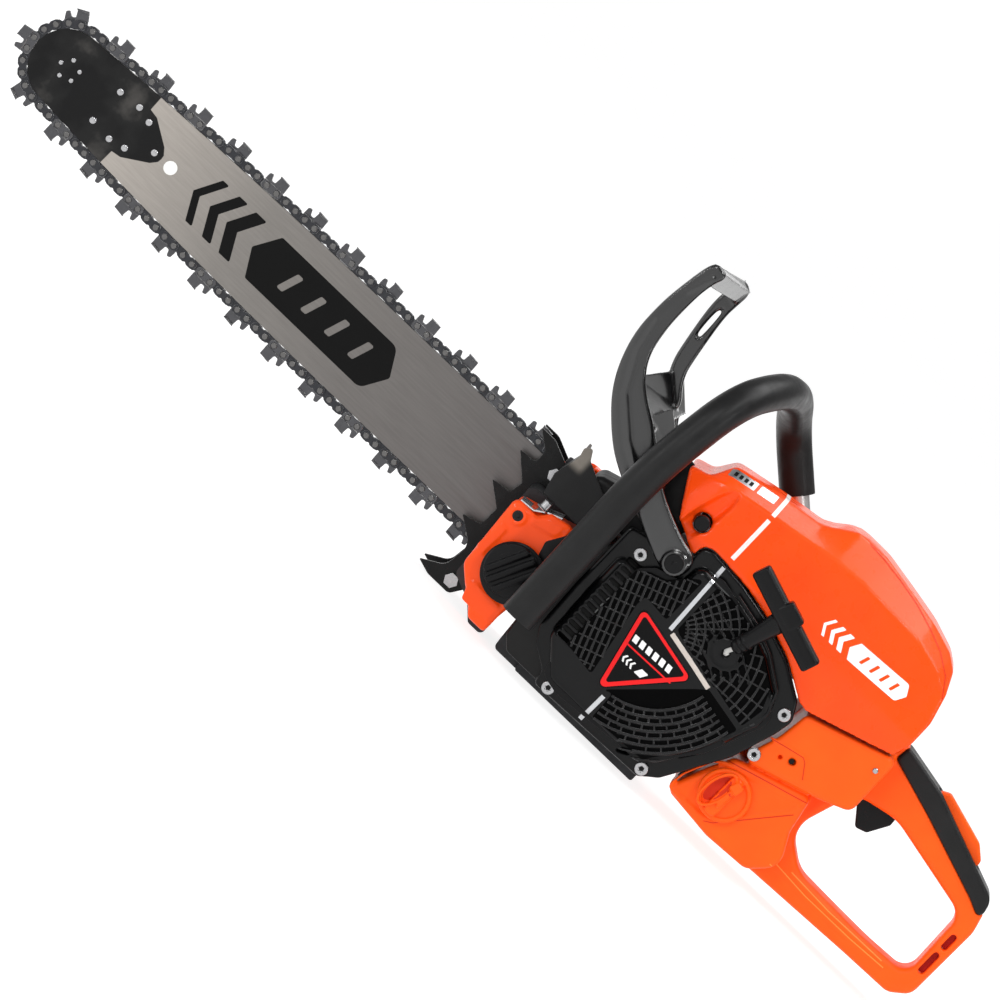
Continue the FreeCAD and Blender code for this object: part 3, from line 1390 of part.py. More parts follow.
def strap(side):
    """Tie strap on one side of the drive links: a plate with two round lobes and a waist."""
    near = side * size("chain_gauge") / 2
    far = near + side * size("strap_thickness")
    y_low, y_high = sorted((near, far))
    outline = [(-3.8, -3.6, 3), (-3.8, 3.6, 3.4), (3.2, 3.6, 2), (4.76, 2.2, 1.2), (6.3, 3.6, 2),
               (13.3, 3.6, 3.4), (13.3, -3.6, 3), (6.3, -3.6, 2), (4.76, -2.4, 1.5), (3.2, -3.6, 2)]
    return drilled(side_prism(outline, y_low, y_high))


def cutter(side):
    """Cutter: strap plate, side plate with depth gauge and gullet, and the leaning top plate."""
    near = side * size("chain_gauge") / 2
    middle = near + side * size("strap_thickness")
    far = middle + side * 1.4
    inside = -side * 1.0
    base_outline = [(-4.2, -3.7, 2.5), (13.8, -3.7, 2.5), (13.8, 3.2, 1), (-4.2, 3.2, 1)]
    blade_outline = [(-4.2, 3.05, 0), (13.8, 3.05, 0), (13.6, 8.6, 1.5), (10.6, 9.4, 1), (8.8, 5.0, 1.5),
                     (5.6, 5.0, 1.2), (5.0, 11.4, 0), (-3.8, 10.6, 1)]
    top_outline = [(-3.6, 9.6), (4.95, 10.4), (5.6, 11.9), (-3.8, 11.0)]
    base = drilled(side_prism(base_outline, *sorted((near, middle))))
    blade = side_prism(blade_outline, *sorted((middle - side * 0.6, far)))
    top = side_prism(top_outline, *sorted((inside, far)))
    return base.fuse([blade, top]).removeSplitter()


def rivet():
    radius = size("rivet_radius")
    half = size("chain_gauge") / 2 + size("strap_thickness")
    shape = disc(radius, 0, 0, -half - 0.5, half + 0.5)
    return rounded(shape, 0.45, lambda edge: flat_in_y(edge, half + 0.5) or flat_in_y(edge, -half - 0.5))


def is_cutter(position):
    """Every other pair of side links carries a cutter, but the loop's first and last pairs both do."""
    return position % 2 == 0


def cutter_side(position):
    """Left and right cutters take turns along the chain."""
    return 1 if position % 4 == 0 else -1


def chain():
    drives, lefts, rights, ties = [], [], [], []
    link = drive_link()
    straps = {side: strap(side) for side in (1, -1)}
    cutters = {side: cutter(side) for side in (1, -1)}
    for position in range(LINK_COUNT // 2):
        drives.append(placed(link, 2 * position))
        side_index = 2 * position + 1
        if is_cutter(position):
            side = cutter_side(position)
            target = lefts if side == 1 else rights
            target.append(placed(cutters[side], side_index))
            ties.append(placed(straps[-side], side_index))
        else:
            ties.append(placed(straps[1], side_index))
            ties.append(placed(straps[-1], side_index))
    group("chain_drive_links", drives)
    group("chain_cutters_left", lefts)
    group("chain_cutters_right", rights)
    group("chain_tie_straps", ties)
    pin = rivet()
    group("chain_rivets", [placed(pin, index) for index in range(LINK_COUNT)])


TAIL_END_X = -42.0


def bar_edge_curve(inset):
    """Upper edge from the nose to the belly as one smooth curve."""
    points = []
    for step in range(7):
        point, normal = edge_point(NOSE_X, step / 6)
        points.append(point - normal * inset)
    tangent_start = edge_point(NOSE_X, 0)[1].cross(Y_AXIS) * -1
    curve = Part.BSplineCurve()
    curve.interpolate(Points=points, InitialTangent=tangent_start * 60, FinalTangent=X_AXIS * 60)
    return curve.toShape(), points


def bar_wire(inset=0.0):
    """Outline of the bar in the side view, about its centre line, moved inwards by inset."""
    upper, points = bar_edge_curve(inset)
    half = size("bar_half_height")
    lean = tail_angle()
    centre = Vector(TAIL_START_X, 0, half - TAIL_RADIUS)
    radius = TAIL_RADIUS - inset
    turns = (0, lean / 2, lean)
    arc_ends = [centre + Vector(math.sin(turn), 0, math.cos(turn)) * radius for turn in turns]
    corner = Vector(TAIL_END_X - 6 - inset, 0, 26 - inset)
    tail = Vector(TAIL_END_X - inset, 0, 18 - inset)
    run = [Part.LineSegment(points[-1], arc_ends[0]).toShape(), Part.Arc(*arc_ends).toShape(),
           Part.LineSegment(arc_ends[2], corner).toShape(), Part.LineSegment(corner, tail).toShape()]
    half_edges = [upper] + run
    low_edges = [edge.mirror(Vector(0, 0, 0), Z_AXIS) for edge in half_edges]
    tip = Vector(NOSE_X - NOSE_RAIL + inset, 0, 0)
    nose = Part.Arc(points[0], tip, Vector(points[0].x, 0, -points[0].z)).toShape()
    back = Part.LineSegment(tail, Vector(tail.x, 0, -tail.z)).toShape()
    return Part.Wire(Part.__sortEdges__(half_edges + low_edges + [nose, back]))


def bar_prism(wire, y_low, y_high):
    face = Part.Face(wire)
    face.translate(Vector(0, y_low, CRANK_Z))
    return face.extrude(Vector(0, y_high - y_low, 0))


GROOVE_DEPTH = 6.0


def guide_bar():
    half = size("bar_thickness") / 2
    slot = size("chain_gauge") / 2 + 0.1
    wire = bar_wire()
    shape = bar_prism(wire, BAR_Y - half, BAR_Y + half)
    core = bar_prism(bar_wire(GROOVE_DEPTH), BAR_Y - slot, BAR_Y + slot)
    groove = bar_prism(wire, BAR_Y - slot, BAR_Y + slot).cut(core)
    shape = shape.cut(groove)
    shape = shape.cut(ring(NOSE_RAIL + 3, 5.1, NOSE_X, CRANK_Z, BAR_Y - slot, BAR_Y + slot))
    radius = size("stud_radius") + 0.2
    slot_ends = (size("stud_front_x") - 8, size("stud_rear_x") + 14)
    shape = shape.cut(box(*slot_ends, 50, 70, CRANK_Z - radius, CRANK_Z + radius))
    for x in slot_ends:
        shape = shape.cut(disc(radius, x, CRANK_Z, 50, 70))
    for z in (CRANK_Z - 24, CRANK_Z + 24):
        shape = shape.cut(disc(3.2, -88, z, 50, 70))
    add_shape("guide_bar", shape)


def nose_sprocket():
    gauge = size("chain_gauge") / 2
    side_link = LINK_COUNT // 4 * 2 + 1
    phase = tooth_phase(Vector(NOSE_X, 0, CRANK_Z), side_link)
    teeth = int(size("nose_teeth"))
    shape = tooth_wheel(teeth, 23.3, 29.0, 0.18, phase, BAR_Y - gauge, BAR_Y + gauge, 5.3)
    shape.translate(Vector(NOSE_X, 0, CRANK_Z))
    add_shape("nose_sprocket", shape)


# ---------------------------------------------------------------- fasteners and springs

def torx_screw(x, z, face_y, depth):
    """Screw with a round flanged head and a star recess; its head rests on the face at face_y."""
    head = disc(size("screw_head_radius"), x, z, face_y - 3.2, face_y)
    head = rounded(head, 0.8, lambda edge: flat_in_y(edge, face_y - 3.2))
    star = disc(1.9, x, z, face_y - 4, face_y - 1.4)
    for index in range(6):
        angle = math.radians(60 * index)
        lobe = disc(0.7, x + 2.0 * math.cos(angle), z + 2.0 * math.sin(angle), face_y - 4, face_y - 1.4)
        star = star.fuse(lobe)
    shank = disc(size("screw_shank_radius"), x, z, face_y, face_y + depth)
    return head.cut(star).fuse(shank).removeSplitter()


def body_screws():
    screws = [torx_screw(x, z, size("cover_face_y"), 12.0) for x, z in COVER_SCREWS]
    screws.append(torx_screw(TANK_SCREW[0], TANK_SCREW[1], -56.0, 10.0))
    x, z = GUARD_PIVOT
    screws.append(disc(3.0, x, z, -76, -50).fuse(disc(5.0, x, z, -77.5, -74.2)).removeSplitter())
    screws.append(disc(3.0, x, z, 50.5, 78).fuse(disc(5.0, x, z, 50, 51.7)).removeSplitter())
    group("body_screws", screws + spike_bolts())


def av_springs():
    """Two ribbed anti-vibration mounts between the engine and the tank."""
    mounts = []
    for y in (-25.0, 25.0):
        core = Part.makeCylinder(4.5, 13, Vector(65.5, y, 36), X_AXIS)
        for index in range(4):
            core = core.fuse(Part.makeCylinder(7, 1.8, Vector(65.5 + index * 3.7, y, 36), X_AXIS))
        mounts.append(core.removeSplitter())
    group("av_springs", mounts)


BUILDERS = [
    crankcase_left, crankcase_right, main_bearings, crankshaft, crank_pin, connecting_rod, piston,
    piston_rings, wrist_pin, cylinder, decompression_valve, spark_plug, spark_plug_boot,
    ignition_coil, flywheel, starter_pawls, starter_reel, recoil_spring, starter_cover,
    starter_badge, starter_grip, starter_rope, muffler, muffler_shield, intake_boot, carburettor,
    throttle_valve, choke_knob, air_filter, top_cover, rear_handle, grip_pad, throttle_trigger,
    throttle_lock, stop_switch, fuel_cap, oil_cap, front_handle_tube, front_handle_grip,
    handle_bracket, hand_guard, clutch_hub, clutch_shoes, clutch_drum, brake_band, rim_sprocket,
    oil_pump, clutch_cover, bar_nuts, spike_inner, spike_outer, guide_bar, nose_sprocket, chain,
    body_screws, av_springs,
]


def check_document():
    """Stop if an object failed, or a sub-part has no valid shape."""
    doc.recompute()
    for item in doc.Objects:
        if "Invalid" in item.State or "Error" in item.State:
            raise RuntimeError("%s failed: %s" % (item.Label, item.State))
    for item in SUB_PARTS:
        if item.Shape.isNull() or not item.Shape.isValid() or not item.Shape.Solids:
            raise RuntimeError("%s has no valid solid" % item.Label)


def export_parts():
    os.makedirs("parts", exist_ok=True)
    for item in SUB_PARTS:
        item.Shape.exportStep("parts/%s.step" % item.Label)


for build in BUILDERS:
    build()
check_document()
export_parts()
print("%d sub-parts, bar nose at x = %.2f mm" % (len(SUB_PARTS), NOSE_X))
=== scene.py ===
import json
import math
from functools import partial
from itertools import groupby

import bmesh
import bpy
from mathutils import Matrix, Vector
from mathutils.bvhtree import BVHTree


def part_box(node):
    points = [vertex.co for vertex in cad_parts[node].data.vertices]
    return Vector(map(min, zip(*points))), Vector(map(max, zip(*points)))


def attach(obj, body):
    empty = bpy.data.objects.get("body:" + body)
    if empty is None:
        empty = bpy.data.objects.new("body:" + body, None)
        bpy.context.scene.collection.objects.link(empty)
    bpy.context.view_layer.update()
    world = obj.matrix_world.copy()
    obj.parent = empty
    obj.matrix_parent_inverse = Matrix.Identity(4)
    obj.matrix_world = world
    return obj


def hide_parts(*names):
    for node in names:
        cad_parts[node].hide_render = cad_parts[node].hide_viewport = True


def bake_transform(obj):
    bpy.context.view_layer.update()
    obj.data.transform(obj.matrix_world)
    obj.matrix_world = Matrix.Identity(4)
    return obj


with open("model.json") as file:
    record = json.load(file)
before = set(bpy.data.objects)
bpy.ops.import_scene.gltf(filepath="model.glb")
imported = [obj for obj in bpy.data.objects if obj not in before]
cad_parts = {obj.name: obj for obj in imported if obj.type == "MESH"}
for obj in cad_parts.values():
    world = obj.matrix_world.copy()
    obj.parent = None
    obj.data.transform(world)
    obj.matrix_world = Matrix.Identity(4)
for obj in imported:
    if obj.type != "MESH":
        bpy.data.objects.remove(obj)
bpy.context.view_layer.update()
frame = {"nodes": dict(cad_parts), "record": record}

NODES = frame["nodes"]
SCENE = bpy.context.scene
MM = 0.001


def linked(name, data):
    """New object of the scene that holds the data."""
    obj = bpy.data.objects.new(name, data)
    SCENE.collection.objects.link(obj)
    return obj


def span(node):
    """Low and high corner of a node's box, in mm."""
    return [[value / MM for value in corner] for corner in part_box(node)]


# ---------------- camera

TILT = math.radians(6.0)
ROLL = math.radians(43.85)
TARGET = Vector((-0.155, 0.062, 0.07494))
DISTANCE = 5.0
FRAME_WIDTH = 0.73964


def make_camera():
    """Camera at the photograph's angle: level with the left side and rolled about its own axis."""
    forward = Vector((0, math.cos(TILT), -math.sin(TILT)))
    above = Vector((0, math.sin(TILT), math.cos(TILT)))
    right = Vector((1, 0, 0)) * math.cos(ROLL) + above * math.sin(ROLL)
    up = above * math.cos(ROLL) - Vector((1, 0, 0)) * math.sin(ROLL)
    data = bpy.data.cameras.new("camera")
    data.sensor_width = 36.0
    data.lens = 36.0 * DISTANCE / FRAME_WIDTH
    data.clip_end = 60.0
    camera = linked("camera", data)
    turn = Matrix((right, up, -forward)).transposed().to_4x4()
    camera.matrix_world = Matrix.Translation(TARGET - forward * DISTANCE) @ turn
    SCENE.camera = camera


make_camera()

# ---------------- materials


class Paint:
    """A material under construction: its node tree with short ways to add nodes."""

    def __init__(self, name, color, roughness, metallic=0.0):
        self.name = name
        self.material = bpy.data.materials.new(name)
        self.material.use_nodes = True
        self.tree = self.material.node_tree
        self.shader = self.tree.nodes["Principled BSDF"]
        self.uniform("Base Color", (*color, 1))
        self.uniform("Roughness", roughness)
        self.uniform("Metallic", metallic)
        self.color = color
        self.place = self.node("ShaderNodeTexCoord").outputs["Object"]
        self.axes = None
        self.base = None

    def node(self, kind, **values):
        made = self.tree.nodes.new(kind)
        for key, value in values.items():
            setattr(made, key, value)
        return made

    def uniform(self, socket, value):
        """Set a socket of the shader."""
        self.shader.inputs[socket].default_value = value

    def link(self, source, target):
        self.tree.links.new(source, target)

    def noise(self, scale, detail=3.0, stretch=None):
        """Noise in metres; stretch scales the axes first."""
        made = self.node("ShaderNodeTexNoise")
        made.inputs["Scale"].default_value = scale
        made.inputs["Detail"].default_value = detail
        source = self.place
        if stretch:
            mapping = self.node("ShaderNodeMapping")
            mapping.inputs["Scale"].default_value = stretch
            self.link(source, mapping.inputs["Vector"])
            source = mapping.outputs["Vector"]
        self.link(source, made.inputs["Vector"])
        return made.outputs["Fac"]

    def axis(self, letter):
        """One object coordinate in mm."""
        if self.axes is None:
            scaled = self.node("ShaderNodeVectorMath", operation="SCALE")
            scaled.inputs["Scale"].default_value = 1000.0
            self.link(self.place, scaled.inputs[0])
            parts = self.node("ShaderNodeSeparateXYZ")
            self.link(scaled.outputs["Vector"], parts.inputs["Vector"])
            self.axes = {key: parts.outputs[key] for key in "XYZ"}
        return self.axes[letter]

    def math(self, operation, first, second=0.0):
        made = self.node("ShaderNodeMath", operation=operation)
        for socket, value in zip(made.inputs, (first, second)):
            if isinstance(value, (int, float)):
                socket.default_value = value
            else:
                self.link(value, socket)
        return made.outputs["Value"]

    def remap(self, value, low, high, to_low=0.0, to_high=1.0, **values):
        """Map one range onto another."""
        made = self.node("ShaderNodeMapRange", **values)
        for socket, number in zip(("From Min", "From Max", "To Min", "To Max"), (low, high, to_low, to_high)):
            made.inputs[socket].default_value = number
        self.link(value, made.inputs["Value"])
        return made.outputs["Result"]

    def step(self, value, edge, soft=0.15):
        """0 below the edge and 1 above it, with a soft change."""
        return self.remap(value, edge - soft, edge + soft, interpolation_type="SMOOTHSTEP")

    def between(self, value, low, high, soft=0.15):
        return self.math("SUBTRACT", self.step(value, low, soft), self.step(value, high, soft))

    def product(self, *factors):
        result = factors[0]
        for factor in factors[1:]:
            result = self.math("MULTIPLY", result, factor)
        return result

    def ramp(self, factor, stops):
        """Color ramp over (position, color) stops."""
        made = self.node("ShaderNodeValToRGB")
        while len(made.color_ramp.elements) < len(stops):
            made.color_ramp.elements.new(0.5)
        for element, (position, color) in zip(made.color_ramp.elements, stops):
            element.position = position
            element.color = (*color, 1)
        self.link(factor, made.inputs["Fac"])
        return made.outputs["Color"]

    def spread(self, factor, low, high):
        """Map a noise value to a range."""
        return self.remap(factor, 0.3, 0.7, low, high)

    def paint(self, color):
        """Make a color output the base color, and keep it for later layers."""
        self.base = color
        self.link(color, self.shader.inputs["Base Color"])

    def shades(self, factor, darker, lighter):
        low = tuple(c * darker for c in self.color)
        high = tuple(min(1.0, c * lighter) for c in self.color)
        self.paint(self.ramp(factor, [(0.3, low), (0.7, high)]))

    def mix(self, color, mask=None, blend="MIX"):
        """Blend a color output into the base color."""
        made = self.node("ShaderNodeMix", data_type="RGBA", blend_type=blend)
        made.inputs["Factor"].default_value = 1.0
        if mask:
            self.link(mask, made.inputs["Factor"])
        self.link(self.base, made.inputs[6])
        self.link(color, made.inputs[7])
        self.paint(made.outputs[2])

    def over(self, mask, color):
        """Lay a color over the base where the mask is 1."""
        if isinstance(color, tuple):
            noise = self.noise(160, 4)
            color = self.ramp(noise, [(0.3, tuple(c * 0.92 for c in color)), (0.7, color)])
        self.mix(color, mask)

    def rough(self, factor, low, high):
        self.link(self.spread(factor, low, high), self.shader.inputs["Roughness"])

    def rounded(self, radius):
        """Normals that round the edges off."""
        made = self.node("ShaderNodeBevel", samples=4)
        made.inputs["Radius"].default_value = radius
        return made.outputs["Normal"]

    def wear_and_highlight_edges(self, normal, color, strength=1.0):
        """Lighter color on edges, where the rounded normal leaves the flat one: scuffing, and also a painted edge
        highlight.
        """
        flat = self.node("ShaderNodeNewGeometry").outputs["Normal"]
        dot = self.node("ShaderNodeVectorMath", operation="DOT_PRODUCT")
        self.link(normal, dot.inputs[0])
        self.link(flat, dot.inputs[1])
        bent = self.math("SUBTRACT", 1.0, dot.outputs["Value"])
        # Edge mask: scuffing and a painted edge highlight.
        rubbed_and_highlit = self.step(bent, 0.09, 0.07)
        broken = self.step(self.noise(260, 5), 0.5, 0.12)
        self.over(self.math("MULTIPLY", self.product(rubbed_and_highlit, broken), strength), color)

    def bump(self, heights, normal=None):
        """Bump from (height, depth in metres, strength) layers."""
        for height, depth, strength in heights:
            made = self.node("ShaderNodeBump")
            made.inputs["Distance"].default_value = depth
            made.inputs["Strength"].default_value = strength
            self.link(height, made.inputs["Height"])
            if normal is not None:
                self.link(normal, made.inputs["Normal"])
            normal = made.outputs["Normal"]
        self.link(normal, self.shader.inputs["Normal"])


def plastic(name, color, low, high, grain=0.00004, coat=0.0, specular=0.16, edge=0.0, worn_and_highlit=None):
    """Moulded plastic with faint flow marks, a fine grain and uneven gloss."""
    paint = Paint(name, color, (low + high) / 2)
    paint.shades(paint.noise(38, 4), 0.93, 1.04)
    paint.rough(paint.noise(90, 5), low, high)
    normal = paint.rounded(edge) if edge else None
    # Lighter edges: scuffing and a painted edge highlight.
    if worn_and_highlit:
        paint.wear_and_highlight_edges(normal, worn_and_highlit, 0.5)
    paint.bump([(paint.noise(1900, 2), grain, 0.35), (paint.noise(55, 2), 0.0003, 0.05)], normal)
    paint.uniform("Coat Weight", coat)
    paint.uniform("Coat Roughness", 0.08)
    paint.uniform("Specular IOR Level", specular)
    return paint


def rubber(name, color, low=0.42, high=0.6):
    """Moulded rubber: matte with a pebbled grain."""
    paint = Paint(name, color, 0.6)
    paint.shades(paint.noise(60, 5), 0.85, 1.2)
    paint.rough(paint.noise(120, 4), low, high)
    paint.bump([(paint.noise(1500, 3), 0.00012, 0.45)], paint.rounded(0.0006))
    paint.uniform("Specular IOR Level", 0.2)
    return paint


def metal(name, color, low, high, stretch=None, grain=0.00005, cast=0.0, edge=0.0004, worn_and_highlit=None):
    """Metal with directional grinding marks, or a cast skin."""
    paint = Paint(name, color, (low + high) / 2, 1.0)
    marks = paint.noise(700, 5, stretch) if stretch else paint.noise(450, 6)
    paint.shades(marks, 0.93, 1.05)
    paint.rough(paint.noise(80, 5, stretch), low, high)
    layers = [(marks, grain, 0.4)]
    if cast:
        layers.append((paint.noise(900, 3), cast, 0.5))
    normal = paint.rounded(edge)
    # Lighter edges: scuffing and a painted edge highlight.
    if worn_and_highlit:
        paint.wear_and_highlight_edges(normal, worn_and_highlit, 0.8)
    paint.bump(layers, normal)
    return paint


def painted(name, color, low, high, worn_and_highlit):
    """Painted metal with an orange-peel skin, and scuffed edges that are lightened also as a painted edge
    highlight.
    """
    paint = Paint(name, color, (low + high) / 2)
    paint.shades(paint.noise(50, 4), 0.85, 1.15)
    paint.rough(paint.noise(130, 4), low, high)
    normal = paint.rounded(0.0007)
    paint.wear_and_highlight_edges(normal, worn_and_highlit)
    paint.bump([(paint.noise(700, 3), 0.00008, 0.3)], normal)
    paint.uniform("Specular IOR Level", 0.2)
    return paint


ORANGE = (0.98, 0.07, 0.0035)
TANK_ORANGE = (0.97, 0.1, 0.005)
BLACK = (0.0022, 0.0023, 0.0026)
# Edge color on black plastic: scuffing and a painted edge highlight.
RUBBED_AND_HIGHLIT = (0.12, 0.12, 0.12)
BAR_AXIS_MM = (span("rim_sprocket")[0][2] + span("rim_sprocket")[1][2]) / 2


def bar_paint():
    """Ground steel with a painted reflection that fades from the nose to the rear, and a black nose whose rear
    edge ends in a tongue.
    """
    paint = metal("bar_steel", (0.2, 0.188, 0.175), 0.3, 0.42, stretch=(0.06, 1, 1), edge=0.0005)
    # Painted reflection: the steel's colour is lightened towards the nose and darkened towards the rear.
    reflection_tones = [(0, (2.1, 2.05, 2)), (0.3, (1.1, 1.1, 1.1)), (0.6, (0.8, 0.8, 0.82)), (1, (0.62, 0.62, 0.66))]
    paint.mix(paint.ramp(paint.remap(paint.axis("X"), -560.0, -110.0), reflection_tones), blend="MULTIPLY")
    off_axis = paint.math("ABSOLUTE", paint.math("SUBTRACT", paint.axis("Z"), BAR_AXIS_MM))
    shaped = paint.node("ShaderNodeFloatCurve")
    curve = shaped.mapping.curves[0]
    tongue = [(0.0, 1.0), (0.08, 0.985), (0.2, 0.86), (0.42, 0.42), (0.5, 0.26), (0.53, 0.02), (1.0, 0.0)]
    curve.points[0].location = tongue[0]
    curve.points[1].location = tongue[-1]
    for point in tongue[1:-1]:
        curve.points.new(*point)
    for point in curve.points:
        point.handle_type = "VECTOR"
    shaped.mapping.update()
    paint.link(paint.math("MULTIPLY", off_axis, 1 / 40.0), shaped.inputs["Value"])
    rear = paint.math("ADD", paint.math("MULTIPLY", shaped.outputs["Value"], 31.5), -541.5)
    ahead = paint.step(paint.math("SUBTRACT", rear, paint.axis("X")), 0.0, 0.25)
    on_side = paint.step(paint.math("ABSOLUTE", paint.math("SUBTRACT", paint.axis("Y"), 62.0)), 2.3, 0.05)
    spots = [(0.4, (0.003, 0.003, 0.0032)), (0.54, (0.009, 0.009, 0.009)), (0.68, (0.05, 0.047, 0.044))]
    mask = paint.product(ahead, on_side)
    paint.over(mask, paint.ramp(paint.noise(30, 6), spots))
    bare = paint.math("SUBTRACT", 1.0, paint.math("MULTIPLY", mask, 0.9))
    paint.link(bare, paint.shader.inputs["Metallic"])
    paint.uniform("Specular IOR Level", 0.2)
    return paint


def top_paint():
    """Glossy orange with a thin white stripe across the left side and the top."""
    paint = plastic("orange_shell", ORANGE, 0.24, 0.34, coat=0.12, edge=0.0008)
    left = paint.math("SUBTRACT", 1.0, paint.step(paint.axis("Y"), 12.0))
    low = paint.between(paint.axis("Z"), 173.5, 211.5)
    high = paint.step(paint.axis("Z"), 215.5)
    stripe = paint.between(paint.axis("X"), -6.6, -3.2, 0.12)
    paint.over(paint.product(stripe, left, paint.math("ADD", low, high)), (0.9, 0.84, 0.82))
    return paint


def case_paint():
    """Orange at the oil tank, and black behind the front handle."""
    paint = plastic("orange_case", (0.96, 0.076, 0.006), 0.3, 0.42, grain=0.0001, coat=0.15, edge=0.0012)
    paint.over(paint.step(paint.axis("X"), -95.0, 3.0), (0.005, 0.0045, 0.0045))
    return paint


def shield_paint():
    """Black sheet with a lighter grey-tan lip along its top at the front."""
    paint = painted("muffler_steel", (0.009, 0.009, 0.0092), 0.4, 0.55, (0.05, 0.05, 0.05))
    lip = paint.product(paint.step(paint.axis("Z"), 141.0, 4.0),
                        paint.math("SUBTRACT", 1.0, paint.step(paint.axis("X"), -127.0, 3.0)))
    paint.over(lip, (0.2, 0.18, 0.155))
    return paint


PAINTS = [
    top_paint(),
    plastic("orange_tank", TANK_ORANGE, 0.34, 0.46, grain=0.00008, edge=0.0008),
    plastic("orange_cap", (0.96, 0.1, 0.005), 0.32, 0.42, edge=0.0006),
    case_paint(),
    plastic("black_gloss", BLACK, 0.16, 0.26, specular=0.15, coat=0.1, edge=0.0009, worn_and_highlit=RUBBED_AND_HIGHLIT),
    # The ribs' lighter edges: scuffing and a painted edge highlight.
    plastic("rib_black", (0.004, 0.004, 0.0045), 0.12, 0.2, specular=0.22, coat=0.15, edge=0.0005,
            worn_and_highlit=(0.3, 0.3, 0.3)),
    # Near black with almost no gloss: painted shade for the floors between the starter cover's ribs.
    plastic("painted_shade_black", (0.0012, 0.0012, 0.0013), 0.5, 0.6, specular=0.03),
    # Lighter, yellower orange: painted highlight along ridges.
    plastic("painted_highlight_orange", (1.0, 0.25, 0.045), 0.4, 0.5),
    plastic("guard_gloss", BLACK, 0.14, 0.22, specular=0.6, coat=0.5, edge=0.0015),
    plastic("black_plastic", (0.004, 0.004, 0.0044), 0.26, 0.38, grain=0.00007, edge=0.0007),
    rubber("black_rubber", (0.009, 0.009, 0.0092), 0.32, 0.46),
    plastic("badge", (0.003, 0.003, 0.0032), 0.24, 0.34, specular=0.1),
    metal("magnesium", (0.045, 0.046, 0.048), 0.45, 0.6, cast=0.0002),
    metal("cast_aluminium", (0.5, 0.5, 0.5), 0.4, 0.55, cast=0.0002),
    metal("handle_tube", (0.62, 0.6, 0.59), 0.25, 0.4, stretch=(1, 1, 0.1)),
    bar_paint(),
    metal("chain_steel", (0.045, 0.046, 0.05), 0.26, 0.4, edge=0.0007, worn_and_highlit=(0.45, 0.45, 0.46)),
    metal("cutter_steel", (0.085, 0.085, 0.09), 0.2, 0.34, edge=0.0007, worn_and_highlit=(0.75, 0.74, 0.72)),
    metal("dark_steel", (0.05, 0.05, 0.054), 0.3, 0.45),
    metal("machined_steel", (0.45, 0.45, 0.45), 0.22, 0.36),
    metal("screw_steel", (0.42, 0.42, 0.43), 0.2, 0.32, worn_and_highlit=(0.85, 0.85, 0.85)),
    painted("spike_paint", (0.004, 0.004, 0.0042), 0.22, 0.36, (0.25, 0.25, 0.25)),
    shield_paint(),
    rubber("filter_felt", (0.7, 0.68, 0.6)),
    plastic("white_ceramic", (0.8, 0.8, 0.78), 0.1, 0.2),
    rubber("rope", (0.5, 0.5, 0.48)),
    plastic("print_white", (0.86, 0.86, 0.85), 0.4, 0.5),
    plastic("print_red", (0.8, 0.012, 0.014), 0.3, 0.4),
    plastic("print_black", (0.003, 0.003, 0.003), 0.35, 0.5, specular=0.1),
    metal("foil", (0.55, 0.56, 0.58), 0.22, 0.34, stretch=(1, 1, 0.1)),
    metal("warm_foil", (0.6, 0.54, 0.49), 0.3, 0.42),
    metal("rivet_head", (0.13, 0.127, 0.125), 0.16, 0.28, edge=0.0006, worn_and_highlit=(0.8, 0.8, 0.8)),
    # Darker copy of the orange: painted shade in the rear handle's slots.
    plastic("painted_shade_red", (0.42, 0.012, 0.006), 0.4, 0.5),
    # Darker orange red for dark joints, also used as painted shade on the fuel cap.
    plastic("seam", (0.62, 0.03, 0.004), 0.4, 0.5),
]
SLOTS = {paint.name: paint.material for paint in PAINTS}


def dress(obj, material):
    """Give an object one material in all its slots."""
    if not obj.material_slots:
        obj.data.materials.append(material)
    for entry in obj.material_slots:
        entry.material = material


for entry in frame["record"]["subparts"]:
    dress(NODES[entry["node"]], SLOTS[entry["material_slot"]])

# ---------------- building pieces


def side_view(u, v, depth):
    """Side view coordinates in mm to a place in the frame; depth is Y."""
    return Vector((u * MM, depth * MM, v * MM))


def top_view(u, v, depth):
    """Plan coordinates in mm to a place in the frame; depth is Z."""
    return Vector((u * MM, v * MM, depth * MM))


def polar(u, v, radius, angle):
    """Point at a distance and an angle from (u, v)."""
    return u + radius * math.cos(angle), v + radius * math.sin(angle)


def rounded_loop(corners, same=0, arc_steps=5):
    """Closed loop of (u, v) points, with an arc at each corner: its own radius, or the same for all."""
    loop = []
    count = len(corners)
    for index, corner in enumerate(corners):
        place = Vector(corner[:2])
        radius = corner[2] if len(corner) > 2 else same
        before = Vector(corners[index - 1][:2]) - place
        after = Vector(corners[(index + 1) % count][:2]) - place
        half = before.angle(after) / 2
        if radius <= 0 or half > 1.55:
            loop.append(tuple(place))
            continue
        reach = min(radius / math.tan(half), 0.48 * before.length, 0.48 * after.length)
        radius = reach * math.tan(half)
        middle = place + (before.normalized() + after.normalized()).normalized() * (radius / math.sin(half))
        start = place + before.normalized() * reach - middle
        end = place + after.normalized() * reach - middle
        first = math.atan2(start.y, start.x)
        turn = math.atan2(end.y, end.x) - first
        turn = (turn + math.pi) % (2 * math.pi) - math.pi
        for step in range(arc_steps + 1):
            loop.append(polar(middle.x, middle.y, radius, first + turn * step / arc_steps))
    return loop


def circle_loop(u, v, radius, count=32):
    return [polar(u, v, radius, math.tau * index / count) for index in range(count)]


